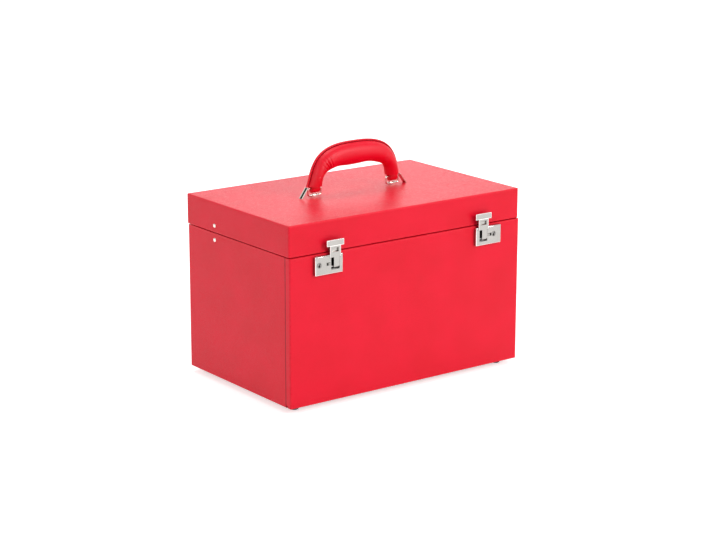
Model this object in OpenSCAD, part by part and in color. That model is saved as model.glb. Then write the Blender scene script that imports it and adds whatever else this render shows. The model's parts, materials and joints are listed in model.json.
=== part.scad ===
// A red jewelry case with a hinged lid, a drop front, three drawers and a padded handle.
// Millimetres. X runs along the front, -Y is the front, Z is up, and the feet stand on Z = 0.

/* [Case] */
// Width of the box over its leather
case_w = 330; // [300:1:360]
// Depth of the box from front face to back face
case_d = 207; // [195:1:225]
// Height of the body, from its underside to its rim
body_h = 172.5; // [155:0.5:190]
// Height of the lid
lid_h = 35.3; // [33:0.1:42]
// Gap between the body's rim and the lid
seam_gap = 1.2; // [0.8:0.1:1.6]
// Radius of the box's outer edges
edge_r = 1.9; // [1.6:0.1:2.8]
// How far the lid sits behind the body
lid_shift = 1.8; // [1.4:0.1:2.4]

/* [Walls] */
// Thickness of the wooden boards
board_t = 6; // [5.5:0.1:7]
// Thickness of the leather skin
skin_t = 1.2; // [1:0.1:1.5]
// Thickness of the suede lining
lining_t = 0.8; // [0.6:0.1:1]

/* [Front panel] */
// Thickness of the drop front over leather and lining
panel_t = 9; // [8.4:0.1:9]
// Height of the front hinge's axis above the underside
panel_lift = 3; // [2.8:0.1:3.6]
// Gap between the drop front and the ends of the walls
panel_gap = 0.4; // [0.3:0.1:0.6]

/* [Feet] */
// Height of a foot
foot_h = 6.5; // [6.5:0.1:9]
// Radius of a foot
foot_r = 5.5; // [4.5:0.1:6.2]
// Distance from the side faces to the middle of a foot
foot_in_x = 17; // [15:0.5:24]
// Distance from the front or back face to the middle of a foot
foot_in_y = 18.5; // [18.5:0.5:30]
// Depth of the screw's recess in a foot
foot_bore_h = 3.5; // [2.5:0.1:4.5]

/* [Back hinge] */
// Length of the back hinge
back_len = 300; // [270:1:300]
// Number of knuckles along the back hinge
back_count = 12; // [8:2:16]
// Outer radius of the back hinge's knuckles
back_r = 2.3; // [2:0.1:2.6]
// Height of each leaf of the back hinge
back_leaf_h = 15; // [13:0.5:17]

/* [Front hinge] */
// Length of the front hinge
front_len = 290; // [260:1:300]
// Number of knuckles along the front hinge
front_count = 12; // [8:2:16]
// Outer radius of the front hinge's knuckles
front_r = 2.1; // [1.8:0.1:2.4]
// Height of the leaf on the drop front
front_leaf_h = 17; // [14:0.5:20]
// Width of the base leaf's flange on the floor
base_flange = 12; // [9:0.5:16]

/* [Hinge pins] */
// Radius of both hinge pins
pin_r = 1.1; // [0.8:0.05:1.2]
// Radial play of a pin in its bore
pin_play = 0.05; // [0.02:0.01:0.09]
// Thickness of the hinge leaves
leaf_t = 0.8; // [0.6:0.1:0.8]

/* [Lid stays] */
// Distance from the back face to the stay rivets
stay_in = 57; // [50:1:70]
// Height of the stay rivets above and below the seam
stay_rise = 8.4; // [7.8:0.1:9.5]
// Thickness of a stay arm
arm_t = 1.5; // [1:0.1:1.7]
// Half the width of a stay arm
arm_r = 4; // [3.4:0.1:4.4]
// Radius of the stay rivets' shanks
stay_pin_r = 1.5; // [1:0.1:1.8]
// Radial clearance in the middle rivet, where the linkage is open
stay_open = 0.4; // [0.3:0.05:0.6]

/* [Drawers] */
// Thickness of the drawer shelves
shelf_t = 3; // [2.5:0.1:3.4]
// Clearance above and below a drawer
drawer_gap = 0.5; // [0.4:0.1:0.8]
// Clearance at each side of a drawer
drawer_side = 0.7; // [0.4:0.1:1.2]
// Distance from the drop front to the drawer fronts
drawer_back = 6; // [5.5:0.1:7]
// Thickness of a drawer's front
drawer_front_t = 6; // [5:0.1:8]
// Thickness of a drawer's sides and back
drawer_wall_t = 4; // [3:0.1:5]
// Thickness of a drawer's floor
drawer_floor_t = 3; // [2.5:0.1:4]
// Radius of the finger notch in a drawer's front
notch_r = 13; // [9:0.5:16]
// Thickness of the drawer's lining
drawer_pad_t = 1; // [0.8:0.1:1.5]

/* [Top insert] */
// Height of the top insert
insert_h = 34; // [26:0.5:36]
// Room between the top insert and the rim, where the lid stays fold
insert_room = 16.5; // [16:0.5:22]
// Thickness of the insert's walls and dividers
insert_wall_t = 3; // [2.5:0.1:4]
// Depth of the insert's front row from front to back
insert_row = 84; // [70:1:95]
// Width of the ring compartment
ring_bay_w = 150; // [120:1:180]
// Number of ring rolls
roll_count = 5; // [3:1:5]
// Radius of a ring roll
roll_r = 7.2; // [6:0.1:7.2]

/* [Mirror] */
// Width of the mirror's frame
mirror_w = 232; // [180:1:260]
// Depth of the mirror's frame
mirror_d = 132; // [100:1:150]
// Width of the frame's border
mirror_border = 10; // [7:0.5:14]
// Thickness of the frame
mirror_frame_t = 5; // [4.5:0.1:6]
// Thickness of the glass
glass_t = 2.8; // [2:0.1:3]

/* [Locks] */
// Distance from a side face to the nearer lock's outer edge
lock_side = 31.2; // [24:0.1:45]
// Width of a lock
lock_w = 37.8; // [37:0.1:40]
// Height of a lock
lock_h = 21.9; // [21.6:0.1:25]
// Distance from the rim to the lock's upper edge
lock_drop = 1.5; // [1.2:0.1:2]
// How far the lock stands out of the front
lock_t = 4.5; // [4.4:0.1:5]
// Wall thickness of the lock's case
lock_wall = 0.9; // [0.7:0.05:1]
// Radius of the lock's corners
lock_r = 1.6; // [1:0.1:2.2]
// Radius of the hasp's hinge pin
hasp_pin_r = 0.9; // [0.7:0.05:1]
// Radius of the hasp's eye
hasp_eye_r = 1.9; // [1.6:0.05:1.95]
// Width of the hasp's T head
head_w = 23.3; // [20:0.1:25]
// Height of the hasp's T head
head_h = 7; // [6:0.1:8]
// Width of the hasp's neck
neck_w = 14.6; // [12:0.1:15]
// Thickness of the hasp
hasp_t = 1.5; // [1.2:0.1:1.6]
// Radius of the key plug
plug_r = 3.2; // [2.8:0.1:3.3]
// Distance from the left lock's inner edge to its key plug
plug_left_u = 32.4; // [31:0.1:33]
// Distance from the right lock's inner edge to its key plug
plug_right_u = 26.4; // [26.4:0.1:33]
// Travel of the thumb slide
slide_travel = 2.2; // [1.6:0.1:2.3]

/* [Handle] */
// Distance from the middle to each end of the handle
handle_x = 56.5; // [52:0.5:64]
// Rise of the grip's centre line above its ends
handle_rise = 36.5; // [30:0.5:42]
// Squareness of the grip's arch, where 2 is an ellipse
handle_power = 2.7; // [2.2:0.1:3.2]
// Half the grip's thickness at its middle
grip_thick = 13.3; // [11:0.1:13.6]
// Half the grip's thickness in its legs
leg_thick = 8.8; // [8:0.1:11]
// Half the grip's width from front to back at its middle
grip_wide = 10.4; // [9:0.1:13]
// Half the grip's width from front to back in its legs
leg_wide = 8.8; // [8:0.1:10]
// Half the width along the front of the leather ends, below the step
grip_end = 5.3; // [5:0.1:6.2]
// Half the width from front to back of the leather ends
end_wide = 6.8; // [6:0.1:8.4]
// How far the leather ends reach below the rings' upper bars
eye_leather_r = 5.7; // [5:0.1:5.8]
// Radius of the ring's wire
wire_r = 1.25; // [1:0.05:1.4]
// Width of a ring between its wires' middles
ring_w = 17.6; // [17:0.1:20]
// Height of a ring between its wires' middles
ring_h = 8.4; // [8.2:0.1:9]
// Thickness of the chape's plate, which lies under the leather
chape_t = 1; // [0.8:0.1:1.5]
// Width of the chape's plate from front to back
chape_d = 9; // [8:0.5:12]
// Width of the chape's strap from front to back
strap_w = 6.5; // [5:0.1:7.5]
// Thickness of the chape's strap
strap_t = 1; // [0.8:0.1:1.3]
// Distance from the ring's middle to the strap's foot on the lid
strap_reach = 19.1; // [16:0.1:21]

/* [Hidden] */
$fn = 48;
far = 400;
slack = 0.05;

// Heights
z_base = foot_h;
z_rim = z_base + body_h;
z_lid = z_rim + seam_gap;
z_top = z_lid + lid_h;
z_seam = z_rim + seam_gap / 2;
z_floor = z_base + skin_t + board_t;
z_panel = z_base + panel_lift;

// Places from front to back: the lock's hasps and the back hinge reach equally far from Y = 0
hasp_proud = 0.3;
back_air = 0.4;
front_reach = lock_t + hasp_proud;
back_reach = lid_shift + back_air + 2 * back_r;
y_front = -(case_d + front_reach + back_reach) / 2 + front_reach;
y_back = y_front + case_d;
y_panel = y_front + panel_t;
y_wall = y_panel + panel_gap;
y_inner = y_back - skin_t - board_t - lining_t;
y_middle = (y_front + y_back) / 2 + lid_shift;
y_lid = y_front + lid_shift;
x_skin = case_w / 2 - skin_t;
x_board = x_skin - board_t;
x_inner = x_board - lining_t;

// Hinge axes
hinge_back = [y_back + lid_shift + back_air + back_r, z_seam];
hinge_front = [y_panel + panel_gap / 2, z_panel];
base_face = hinge_front[0] + panel_gap / 2 + leaf_t;
knuckle_gap = 0.4;
zone_play = 0.3;

// Screws that hold the hinge leaves
screw_r = 1.1;
screw_head_r = 2;
screw_head_h = 0.5;
screw_len = 5;
back_screws = 6;
back_screw_step = back_len / back_screws;
back_screw_z = back_leaf_h * 0.6;
front_screw_step = front_len / back_screws;
front_screw_z = front_leaf_h * 0.6;
base_screw_y = base_face + base_flange / 2;

// Lid stays: two arms a side, as long as the rivets are from the back hinge, so they turn with the lid
rivet_low = [y_back - stay_in, z_seam - stay_rise];
rivet_high = [y_back - stay_in, z_seam + stay_rise];
rivet_mid = [2 * (y_back - stay_in) - hinge_back[0], z_seam];
arm_gap = 0.3;
x_low_arm = x_inner - arm_gap - arm_t;
x_high_arm = x_low_arm - arm_gap - arm_t;
dome_r = 2.4;
dome_h = 1.1;
rivet_head_r = stay_pin_r + 1.1;
rivet_head_h = 0.9;

// Drawers and shelves
drawer_count = 3;
z_insert = z_rim - insert_room - insert_h;
drawer_pitch = (z_insert - z_floor - lining_t) / drawer_count;
drawer_h = drawer_pitch - 2 * drawer_gap - shelf_t;
z_drawer = z_floor + lining_t + drawer_gap;
drawer_x = x_inner - drawer_side;
y_drawer = y_panel + drawer_back;
drawer_end_gap = 1;
drawer_d = y_inner - drawer_end_gap - y_drawer;
notch_z = drawer_h + 2;

// Top insert
insert_x = x_inner - 0.3;
insert_d = y_inner - 0.3 - y_drawer;
insert_floor_t = 2.5;
roll_pitch = 2 * roll_r + 0.6;
roll_h = insert_h - 8;

// Mirror: its frame hangs from the suede under the lid, and the rebate holds the glass against it
z_ceiling = z_top - skin_t - board_t - lining_t;
mirror_lip = 3;
mirror_play = 0.3;

// Drop front: its board lies between the leather and the hinge leaf, and a lip in front of the hinge
// reaches down to the underside; the lip passes under the body when the front turns down
panel_board_y = [y_front + skin_t, y_panel - leaf_t];
y_lip = hinge_front[0] - panel_lift - 0.4;

// Locks, measured from the lock's inner edge and the rim
lock_in = case_w / 2 - lock_side - lock_w;
hasp_axis_drop = 16;
hasp_axis_proud = 2.2;
button_drop = 12.1;
head_rise = 7.4;
neck_lap = 3.3;
neck_play = 0.3;
slot_below = 3.1;
lock_top = z_rim - lock_drop;
lock_bottom = lock_top - lock_h;
hasp_axis_y = y_front - hasp_axis_proud;
hasp_axis_z = z_seam - hasp_axis_drop;
slot_in = 4.9;
slot_out = 16.5;
slot_low = hasp_axis_z - slot_below;
arm_gap_near = 0.4;
arm_gap_far = 3.7;
ear_w = 0.9;
neck_mid = 10.7;
neck_low = lock_top - neck_lap;
head_low = z_seam + head_rise;
hasp_front = y_front - lock_t - hasp_proud;
window_w = 8.4;
window_h = 4.8;
window_rise = 0.6;
slide_u = 19;
slide_z = z_seam - button_drop;
slide_w = 2.8;
slide_h = 3.2;
slide_bar_t = 1.1;
slide_groove = 0.35;
plug_z = z_seam - button_drop;
plug_depth = lock_t - 0.4;
keyhole_w = 1.4;
keyhole_h = 5;
keyhole_eye_r = 1.4;
keyhole_turn = 20;
boss_r = 2.1;
boss_u = [21.5, 32.5];
boss_z = lock_bottom + 3.6;
lock_screw_r = 1;
lock_screw_head_r = 2;

// Handle: its centre line is a squared arch that starts and ends at the rings' upper bars
ring_low_z = z_top + 2.2;
ring_high_z = ring_low_z + ring_h;
bridge_w = 8;
bridge_r = wire_r + 0.85;
plate_low = z_top - skin_t - chape_t;
plate_margin = 5;
strap_gap = 0.3;
strap_foot_x = handle_x + strap_reach;
strap_top = [handle_x + ring_w / 2 + wire_r + strap_gap + strap_t / 2, ring_high_z + wire_r - 0.4];
chape_rivet_x = [-bridge_w / 2 - 2.4, strap_reach / 2];
lid_rivet_r = 1.2;
lid_rivet_head_r = 1.9;
lid_rivet_head_h = 0.5;
catch_t = 1.2;
catch_half_w = 5.2;
catch_rivet_u = 3.1;
catch_rise = 12.6;
core_t = 2;
core_w = 9;
core_eye_r = 2.8;
core_eye_w = 9.4;
eye_leather_w = 2 * grip_end + 0.6;
// The legs start this far above the rings' upper bars, in a step
leg_step = 1.9;
leg_straight = 0.4;
leg_swell = 1;
side_swell = 0.4;
grip_rings = 32;
grip_sides = 20;

function power(v, p) = v == 0 ? 0 : sign(v) * pow(abs(v), p);
function arch(t) = [-handle_x * power(cos(t), 2 / handle_power),
    ring_high_z + handle_rise * power(sin(t), 2 / handle_power)];
function unit(v) = v / norm(v);
function arch_way(t) = unit(arch(min(180, t + 0.5)) - arch(max(0, t - 0.5)));
// Rings crowd near the ends, where the arch stands upright
function ring_angle(i) = let (s = i / grip_rings) 90 * (1 - cos(180 * s));
function arch_height(t) = arch(t)[1] - ring_high_z;
function ease(v) = let (c = max(0, min(1, v))) c * c * (3 - 2 * c);
function rise(t) = arch_height(t) / handle_rise;
function grip_half(t) = leg_thick + (grip_thick - leg_thick) * ease((rise(t) - leg_straight) / (leg_swell - leg_straight));
function grip_side(t) = leg_wide + (grip_wide - leg_wide) * ease(rise(t) / side_swell);
// The turn at which the arch is as high as the step
step_turn = asin(pow(leg_step / handle_rise, handle_power / 2));
function leg_angle(i) = step_turn + ring_angle(i) * (90 - step_turn) / 90;

// Basic shapes

// A rectangle with round corners, centred
module round_rect(w, h, r) {
    square([w - 2 * r, h], center = true);
    square([w, h - 2 * r], center = true);
    for (x = [-1, 1], y = [-1, 1])
        translate([x * (w / 2 - r), y * (h / 2 - r)])
            circle(r);
}

// A block from one corner to another
module block(low, high) {
    translate(low)
        cube(high - low);
}

// A block with all its edges round: the upright edges most, those along Y least
module soft_block(low, high, r) {
    size = high - low;
    spare = 2;
    translate((low + high) / 2)
        intersection() {
            linear_extrude(size[2] + spare, center = true)
                round_rect(size[0], size[1], r);
            rotate([90, 0, 0])
                linear_extrude(size[1] + spare, center = true)
                    round_rect(size[0], size[2], 0.8 * r);
            rotate([90, 0, 90])
                linear_extrude(size[0] + spare, center = true)
                    round_rect(size[1], size[2], 0.9 * r);
        }
}

// A cylinder along X, centred on x
module rod_x(x, y, z, r, len) {
    translate([x, y, z])
        rotate([0, 90, 0])
            cylinder(r = r, h = len, center = true);
}

// A cylinder along Y from y0 to y1
module rod_y(x, z, y0, y1, r) {
    translate([x, y1, z])
        rotate([90, 0, 0])
            cylinder(r = r, h = y1 - y0);
}

// Children on both sides of the case
module both_sides() {
    children();
    mirror([1, 0, 0])
        children();
}

module side(right) {
    if (right)
        children();
    else
        mirror([1, 0, 0])
            children();
}

// Holes that several layers share

module stay_rivet_hole(at) {
    both_sides()
        rod_x(x_board, at[0], at[1], stay_pin_r + slack, 4 * (board_t + skin_t));
}

module foot_places() {
    for (x = [-1, 1], y = [y_front + foot_in_y, y_back - foot_in_y])
        translate([x * (case_w / 2 - foot_in_x), y, 0])
            children();
}

module foot_screw_holes() {
    foot_places()
        cylinder(r = screw_r + slack, h = z_floor);
}

module screw_row_y(count, step, y0, y1, z, r) {
    for (i = [0 : count - 1])
        rod_y((i - (count - 1) / 2) * step, z, y0, y1, r);
}

// Upright screws through the front hinge's flange on the floor
module base_screws(r, top) {
    for (i = [0 : back_screws - 1])
        translate([(i - (back_screws - 1) / 2) * front_screw_step, base_screw_y, z_floor - screw_len])
            cylinder(r = r, h = top - z_floor + screw_len);
}

module back_screw_holes(z) {
    screw_row_y(back_screws, back_screw_step, y_back - far / 4, y_back + far / 4, z, screw_r + slack);
}

module front_barrel_room() {
    rod_x(0, hinge_front[0], hinge_front[1], front_r + 0.4, front_len + 2);
}

// Body

// The body's outside: its edges are round, apart from those at the rim
module body_block() {
    intersection() {
        soft_block([-case_w / 2, y_front, z_base], [case_w / 2, y_back, z_rim + 2 * edge_r], edge_r);
        block([-far, -far, 0], [far, far, z_rim]);
    }
}

module base_board() {
    color("burlywood")
        difference() {
            block([-x_board, base_face, z_base + skin_t], [x_board, y_back - skin_t - board_t, z_floor]);
            foot_screw_holes();
            front_barrel_room();
            base_screws(screw_r + slack, z_floor + 1);
        }
}

module wall_board() {
    difference() {
        block([x_board, y_wall + skin_t, z_base + skin_t], [x_skin, y_back - skin_t, z_rim - skin_t]);
        stay_rivet_hole(rivet_low);
    }
}

module left_wall_board() {
    color("burlywood")
        side(false)
            wall_board();
}

module right_wall_board() {
    color("burlywood")
        side(true)
            wall_board();
}

module back_wall_board() {
    color("burlywood")
        difference() {
            block([-x_board, y_back - skin_t - board_t, z_base + skin_t],
                [x_board, y_back - skin_t, z_rim - skin_t]);
            back_screw_holes(z_seam - back_screw_z);
        }
}

// Leather over the outside of the body, turned over the rim and the walls' front ends
module body_cover() {
    color([0.86, 0.08, 0.14])
        difference() {
            body_block();
            block([-far, -far, 0], [far, y_wall, far]);
            block([-x_skin, y_wall + skin_t, z_base + skin_t], [x_skin, y_back - skin_t, z_rim - skin_t]);
            block([-x_board, -far, z_base + skin_t], [x_board, y_back - skin_t - board_t, far]);
            block([-x_board, -far, 0], [x_board, base_face, far]);
            front_barrel_room();
            foot_screw_holes();
            stay_rivet_hole(rivet_low);
            back_screw_holes(z_seam - back_screw_z);
        }
}

// Suede on the inside of the walls and on the floor
module body_lining() {
    color([0.75, 0.1, 0.14])
        difference() {
            block([-x_board, y_wall, z_floor], [x_board, y_inner + lining_t, z_rim]);
            block([-x_inner, -far, z_floor + lining_t], [x_inner, y_inner, far]);
            block([-far, -far, 0], [far, base_face + base_flange + slack, z_floor + lining_t]);
            stay_rivet_hole(rivet_low);
        }
}

// Three boards: a drawer runs under each, and the top insert stands on the upper one
module drawer_shelves() {
    color("burlywood")
        for (i = [1 : drawer_count])
            translate([0, 0, z_floor + lining_t + i * drawer_pitch - shelf_t])
                block([-x_inner, y_drawer, 0], [x_inner, y_inner, shelf_t]);
}

module top_insert() {
    bay_d = insert_d - insert_row - insert_wall_t;
    row_x = [-insert_x, -ring_bay_w / 2 - insert_wall_t, ring_bay_w / 2, insert_x - insert_wall_t];
    back_w = (2 * insert_x - 5 * insert_wall_t) / 4;
    color([0.78, 0.1, 0.15])
        translate([0, y_drawer, z_insert])
            difference() {
                block([-insert_x, 0, 0], [insert_x, insert_d, insert_h]);
                for (i = [0 : 2])
                    block([row_x[i] + insert_wall_t, insert_wall_t, insert_floor_t],
                        [row_x[i + 1], insert_row, insert_h + 1]);
                for (i = [0 : 3])
                    translate([-insert_x + insert_wall_t + i * (back_w + insert_wall_t),
                            insert_row + insert_wall_t, insert_floor_t])
                        cube([back_w, bay_d - insert_wall_t, insert_h]);
            }
}

// Soft rolls that hold rings between them
module ring_rolls() {
    depth = insert_row - insert_wall_t;
    first = y_drawer + insert_wall_t + (depth - (roll_count - 1) * roll_pitch) / 2;
    color([0.8, 0.12, 0.17])
        for (i = [0 : roll_count - 1])
            translate([0, first + i * roll_pitch, z_insert + insert_floor_t])
                rotate([90, 0, 90])
                    linear_extrude(ring_bay_w - 1, center = true) {
                        translate([-roll_r, 0])
                            square([2 * roll_r, roll_h - roll_r]);
                        translate([0, roll_h - roll_r])
                            circle(roll_r);
                    }
}

module feet() {
    color([0.12, 0.12, 0.12])
        foot_places()
            rotate_extrude()
                difference() {
                    union() {
                        square([foot_r - 1, foot_h]);
                        translate([0, 1])
                            square([foot_r, foot_h - 1]);
                        translate([foot_r - 1, 1])
                            circle(1);
                    }
                    square([screw_head_r + 0.4, foot_bore_h]);
                    square([screw_r + slack, far]);
                    translate([-far, -far])
                        square([far, 2 * far]);
                }
}

module foot_screws() {
    color("silver")
        foot_places() {
            translate([0, 0, foot_bore_h])
                cylinder(r = screw_r, h = z_floor - foot_bore_h - 0.5);
            translate([0, 0, foot_bore_h - 1])
                cylinder(r = screw_head_r, h = 1);
        }
}

// Hinges

// Knuckles along X in every second place, with first as 0 or 1
module knuckles(axis, len, count, first, r) {
    step = len / count;
    for (i = [first : 2 : count - 1])
        rod_x(-len / 2 + (i + 0.5) * step, axis[0], axis[1], r, step - knuckle_gap);
}

// Room for the other leaf's knuckles
module knuckle_room(axis, len, count, first, r) {
    step = len / count;
    for (i = [first : 2 : count - 1])
        rod_x(-len / 2 + (i + 0.5) * step, axis[0], axis[1], r + zone_play, step + knuckle_gap);
}

// A leaf: its plates are the children, and it turns about the axis on its own knuckles
module hinge_leaf(axis, len, count, first, r) {
    color("silver")
        difference() {
            union() {
                knuckles(axis, len, count, first, r);
                children();
            }
            rod_x(0, axis[0], axis[1], pin_r + pin_play, len + 2);
            knuckle_room(axis, len, count, 1 - first, r);
        }
}

module back_hinge_body_leaf() {
    hinge_leaf(hinge_back, back_len, back_count, 0, back_r)
        difference() {
            union() {
                block([-back_len / 2, y_back, z_seam - back_leaf_h],
                    [back_len / 2, y_back + leaf_t, z_seam - seam_gap / 2]);
                block([-back_len / 2, y_back, z_seam - seam_gap / 2 - leaf_t],
                    [back_len / 2, hinge_back[0], z_seam - seam_gap / 2]);
            }
            back_screw_holes(z_seam - back_screw_z);
        }
}

module back_hinge_lid_leaf() {
    y = y_back + lid_shift;
    hinge_leaf(hinge_back, back_len, back_count, 1, back_r)
        difference() {
            union() {
                block([-back_len / 2, y, z_seam + seam_gap / 2], [back_len / 2, y + leaf_t, z_seam + back_leaf_h]);
                block([-back_len / 2, y, z_seam + seam_gap / 2],
                    [back_len / 2, hinge_back[0], z_seam + seam_gap / 2 + leaf_t]);
            }
            back_screw_holes(z_seam + back_screw_z);
        }
}

module front_hinge_base_leaf() {
    y = hinge_front[0] + panel_gap / 2;
    hinge_leaf(hinge_front, front_len, front_count, 0, front_r)
        difference() {
            union() {
                block([-front_len / 2, y, z_base + 0.3], [front_len / 2, base_face, z_floor + leaf_t]);
                block([-front_len / 2, y, z_floor], [front_len / 2, base_face + base_flange, z_floor + leaf_t]);
            }
            base_screws(screw_r + slack, z_floor + leaf_t + 1);
        }
}

module front_hinge_panel_leaf() {
    hinge_leaf(hinge_front, front_len, front_count, 1, front_r)
        difference() {
            block([-front_len / 2, y_panel - leaf_t, z_panel], [front_len / 2, y_panel, z_panel + front_leaf_h]);
            screw_row_y(back_screws, front_screw_step, y_front, y_back, z_panel + front_screw_z,
                screw_r + slack);
        }
}

module hinge_pins() {
    color("silver") {
        rod_x(0, hinge_back[0], hinge_back[1], pin_r, back_len);
        rod_x(0, hinge_front[0], hinge_front[1], pin_r, front_len);
    }
}

// A row of screws along X that go in from y_out towards y_in, heads outside the leaf
module screw_row(step, y_out, y_in, z) {
    way = sign(y_out - y_in);
    screw_row_y(back_screws, step, min(y_in, y_out), max(y_in, y_out), z, screw_r);
    screw_row_y(back_screws, step, min(y_out, y_out + way * screw_head_h),
        max(y_out, y_out + way * screw_head_h), z, screw_head_r);
}

module case_hinge_screws() {
    color("silver") {
        screw_row(back_screw_step, y_back + leaf_t, y_back - screw_len, z_seam - back_screw_z);
        // The flange lies under the lowest drawer, so these screws are flush
        base_screws(screw_r, z_floor + leaf_t);
    }
}

module lid_hinge_screws() {
    y = y_back + lid_shift;
    color("silver")
        screw_row(back_screw_step, y + leaf_t, y - screw_len, z_seam + back_screw_z);
}

module panel_hinge_screws() {
    color("silver")
        screw_row_y(back_screws, front_screw_step, y_panel - leaf_t - screw_len + slack, y_panel,
            z_panel + front_screw_z, screw_r);
}

// Lid stays

// A rivet through the side: a domed head outside, a shoulder inside, then the arm's pivot
module stay_rivet(at, x_arm) {
    out = case_w / 2;
    face = x_arm + arm_t + 0.12;
    both_sides()
        translate([0, at[0], at[1]])
            rotate([0, 90, 0])
                rotate_extrude() {
                    // Profile turned with its axis along X: the first value is the radius
                    polygon([[0, x_arm - 0.12 - rivet_head_h], [rivet_head_r, x_arm - 0.12 - rivet_head_h],
                        [rivet_head_r, x_arm - 0.12], [stay_pin_r, x_arm - 0.12], [stay_pin_r, face],
                        [stay_pin_r + 1, face], [stay_pin_r + 1, x_inner], [stay_pin_r, x_inner],
                        [stay_pin_r, out], [dome_r, out], [dome_r, out + 0.3], [dome_r * 0.8, out + dome_h * 0.75],
                        [dome_r * 0.45, out + dome_h], [0, out + dome_h]]);
                }
}

module case_stay_rivets() {
    color("silver")
        stay_rivet(rivet_low, x_low_arm);
}

module lid_stay_rivets() {
    color("silver")
        stay_rivet(rivet_high, x_high_arm);
}

// A flat arm in the side's plane between two points
module stay_arm(x, from, to, r_from, r_to) {
    way = to - from;
    color("silver")
        translate([x, 0, 0])
            rotate([90, 0, 90])
                linear_extrude(arm_t)
                    difference() {
                        union() {
                            translate(from)
                                circle(arm_r);
                            translate(to)
                                circle(arm_r);
                            translate(from)
                                rotate(atan2(way[1], way[0]))
                                    translate([0, -0.8 * arm_r])
                                        square([norm(way), 1.6 * arm_r]);
                        }
                        translate(from)
                            circle(r_from);
                        translate(to)
                            circle(r_to);
                    }
}

module stay_lower(right) {
    side(right)
        stay_arm(x_low_arm, rivet_low, rivet_mid, stay_pin_r + pin_play, stay_pin_r + slack / 2);
}

module stay_upper(right) {
    side(right)
        stay_arm(x_high_arm, rivet_high, rivet_mid, stay_pin_r + pin_play, stay_pin_r + stay_open);
}

module stay_lower_left() {
    stay_lower(false);
}

module stay_lower_right() {
    stay_lower(true);
}

module stay_upper_left() {
    stay_upper(false);
}

module stay_upper_right() {
    stay_upper(true);
}

// The rivet where a side's two arms meet, fast in the lower arm and loose in the upper one
module stay_mid_rivet(right) {
    head_x = x_high_arm - 0.15;
    color("silver")
        side(right)
            translate([0, rivet_mid[0], rivet_mid[1]])
                rotate([0, 90, 0]) {
                    translate([0, 0, head_x])
                        cylinder(r = stay_pin_r, h = x_low_arm + arm_t - head_x);
                    translate([0, 0, head_x - rivet_head_h])
                        cylinder(r = stay_pin_r + stay_open + 1, h = rivet_head_h);
                }
}

module stay_mid_rivet_left() {
    stay_mid_rivet(false);
}

module stay_mid_rivet_right() {
    stay_mid_rivet(true);
}

// Lid

module chape_rivet_places() {
    for (s = [-1, 1], x = chape_rivet_x)
        translate([s * (handle_x + x), y_middle, 0])
            children();
}

module chape_rivet_holes() {
    chape_rivet_places()
        translate([0, 0, z_lid])
            cylinder(r = lid_rivet_r + slack, h = z_top - skin_t + slack - z_lid);
}

// The chape's plate, and what comes up through the leather, both larger by the given play
module chape_plate(play) {
    block([handle_x + chape_rivet_x[0] - plate_margin / 2 - play, y_middle - chape_d / 2 - play, plate_low - play],
        [strap_foot_x + plate_margin / 2 + play, y_middle + chape_d / 2 + play, z_top - skin_t + play / 2]);
}

module chape_slits() {
    block([handle_x - bridge_w / 2 - slack, y_middle - bridge_r - slack, plate_low],
        [handle_x + bridge_w / 2 + slack, y_middle + bridge_r + slack, z_top + 1]);
    block([strap_foot_x - strap_t / 2 - slack, y_middle - strap_w / 2 - slack, plate_low],
        [strap_foot_x + strap_t / 2 + slack, y_middle + strap_w / 2 + slack, z_top + 1]);
}

module catch_rivet_places() {
    for (s = [-1, 1], u = [-1, 1])
        translate([s * (lock_in + neck_mid) + u * catch_rivet_u, 0, z_seam + 9.5])
            children();
}

module catch_rivet_holes() {
    catch_rivet_places()
        rod_y(0, 0, y_front - 3, y_lid + skin_t + board_t, lid_rivet_r + slack);
}

module lid_core() {
    color("burlywood")
        difference() {
            block([-x_skin, y_lid + skin_t, z_lid + skin_t], [x_skin, y_lid + case_d - skin_t, z_top - skin_t]);
            block([-x_board, y_lid + skin_t + board_t, 0],
                [x_board, y_lid + case_d - skin_t - board_t, z_top - skin_t - board_t]);
            stay_rivet_hole(rivet_high);
            back_screw_holes(z_seam + back_screw_z);
            chape_rivet_holes();
            both_sides()
                chape_plate(slack);
            catch_rivet_holes();
        }
}

module lid_cover() {
    color([0.86, 0.08, 0.14])
        difference() {
            intersection() {
                soft_block([-case_w / 2, y_lid, z_lid - 2 * edge_r], [case_w / 2, y_lid + case_d, z_top], edge_r);
                block([-far, -far, z_lid], [far, far, far]);
            }
            block([-x_skin, y_lid + skin_t, z_lid + skin_t], [x_skin, y_lid + case_d - skin_t, z_top - skin_t]);
            block([-x_board, y_lid + skin_t + board_t, 0], [x_board, y_lid + case_d - skin_t - board_t, z_lid + far / 16]);
            stay_rivet_hole(rivet_high);
            back_screw_holes(z_seam + back_screw_z);
            both_sides()
                chape_slits();
            catch_rivet_holes();
        }
}

module lid_lining() {
    color([0.75, 0.1, 0.14])
        difference() {
            block([-x_board, y_lid + skin_t + board_t, z_lid],
                [x_board, y_lid + case_d - skin_t - board_t, z_ceiling + lining_t]);
            block([-x_inner, y_lid + skin_t + board_t + lining_t, 0],
                [x_inner, y_lid + case_d - skin_t - board_t - lining_t, z_ceiling]);
            stay_rivet_hole(rivet_high);
        }
}

module mirror_frame() {
    w = mirror_w / 2;
    d = mirror_d / 2;
    sight = mirror_border;
    pocket = mirror_border - mirror_lip;
    color([0.8, 0.12, 0.17])
        translate([0, y_middle, z_ceiling])
            difference() {
                soft_block([-w, -d, -mirror_frame_t], [w, d, mirror_frame_t], 2);
                block([-far, -far, 0], [far, far, far]);
                block([-w + sight, -d + sight, -far], [w - sight, d - sight, 1]);
                block([-w + pocket, -d + pocket, -glass_t - slack], [w - pocket, d - pocket, 1]);
            }
}

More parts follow.
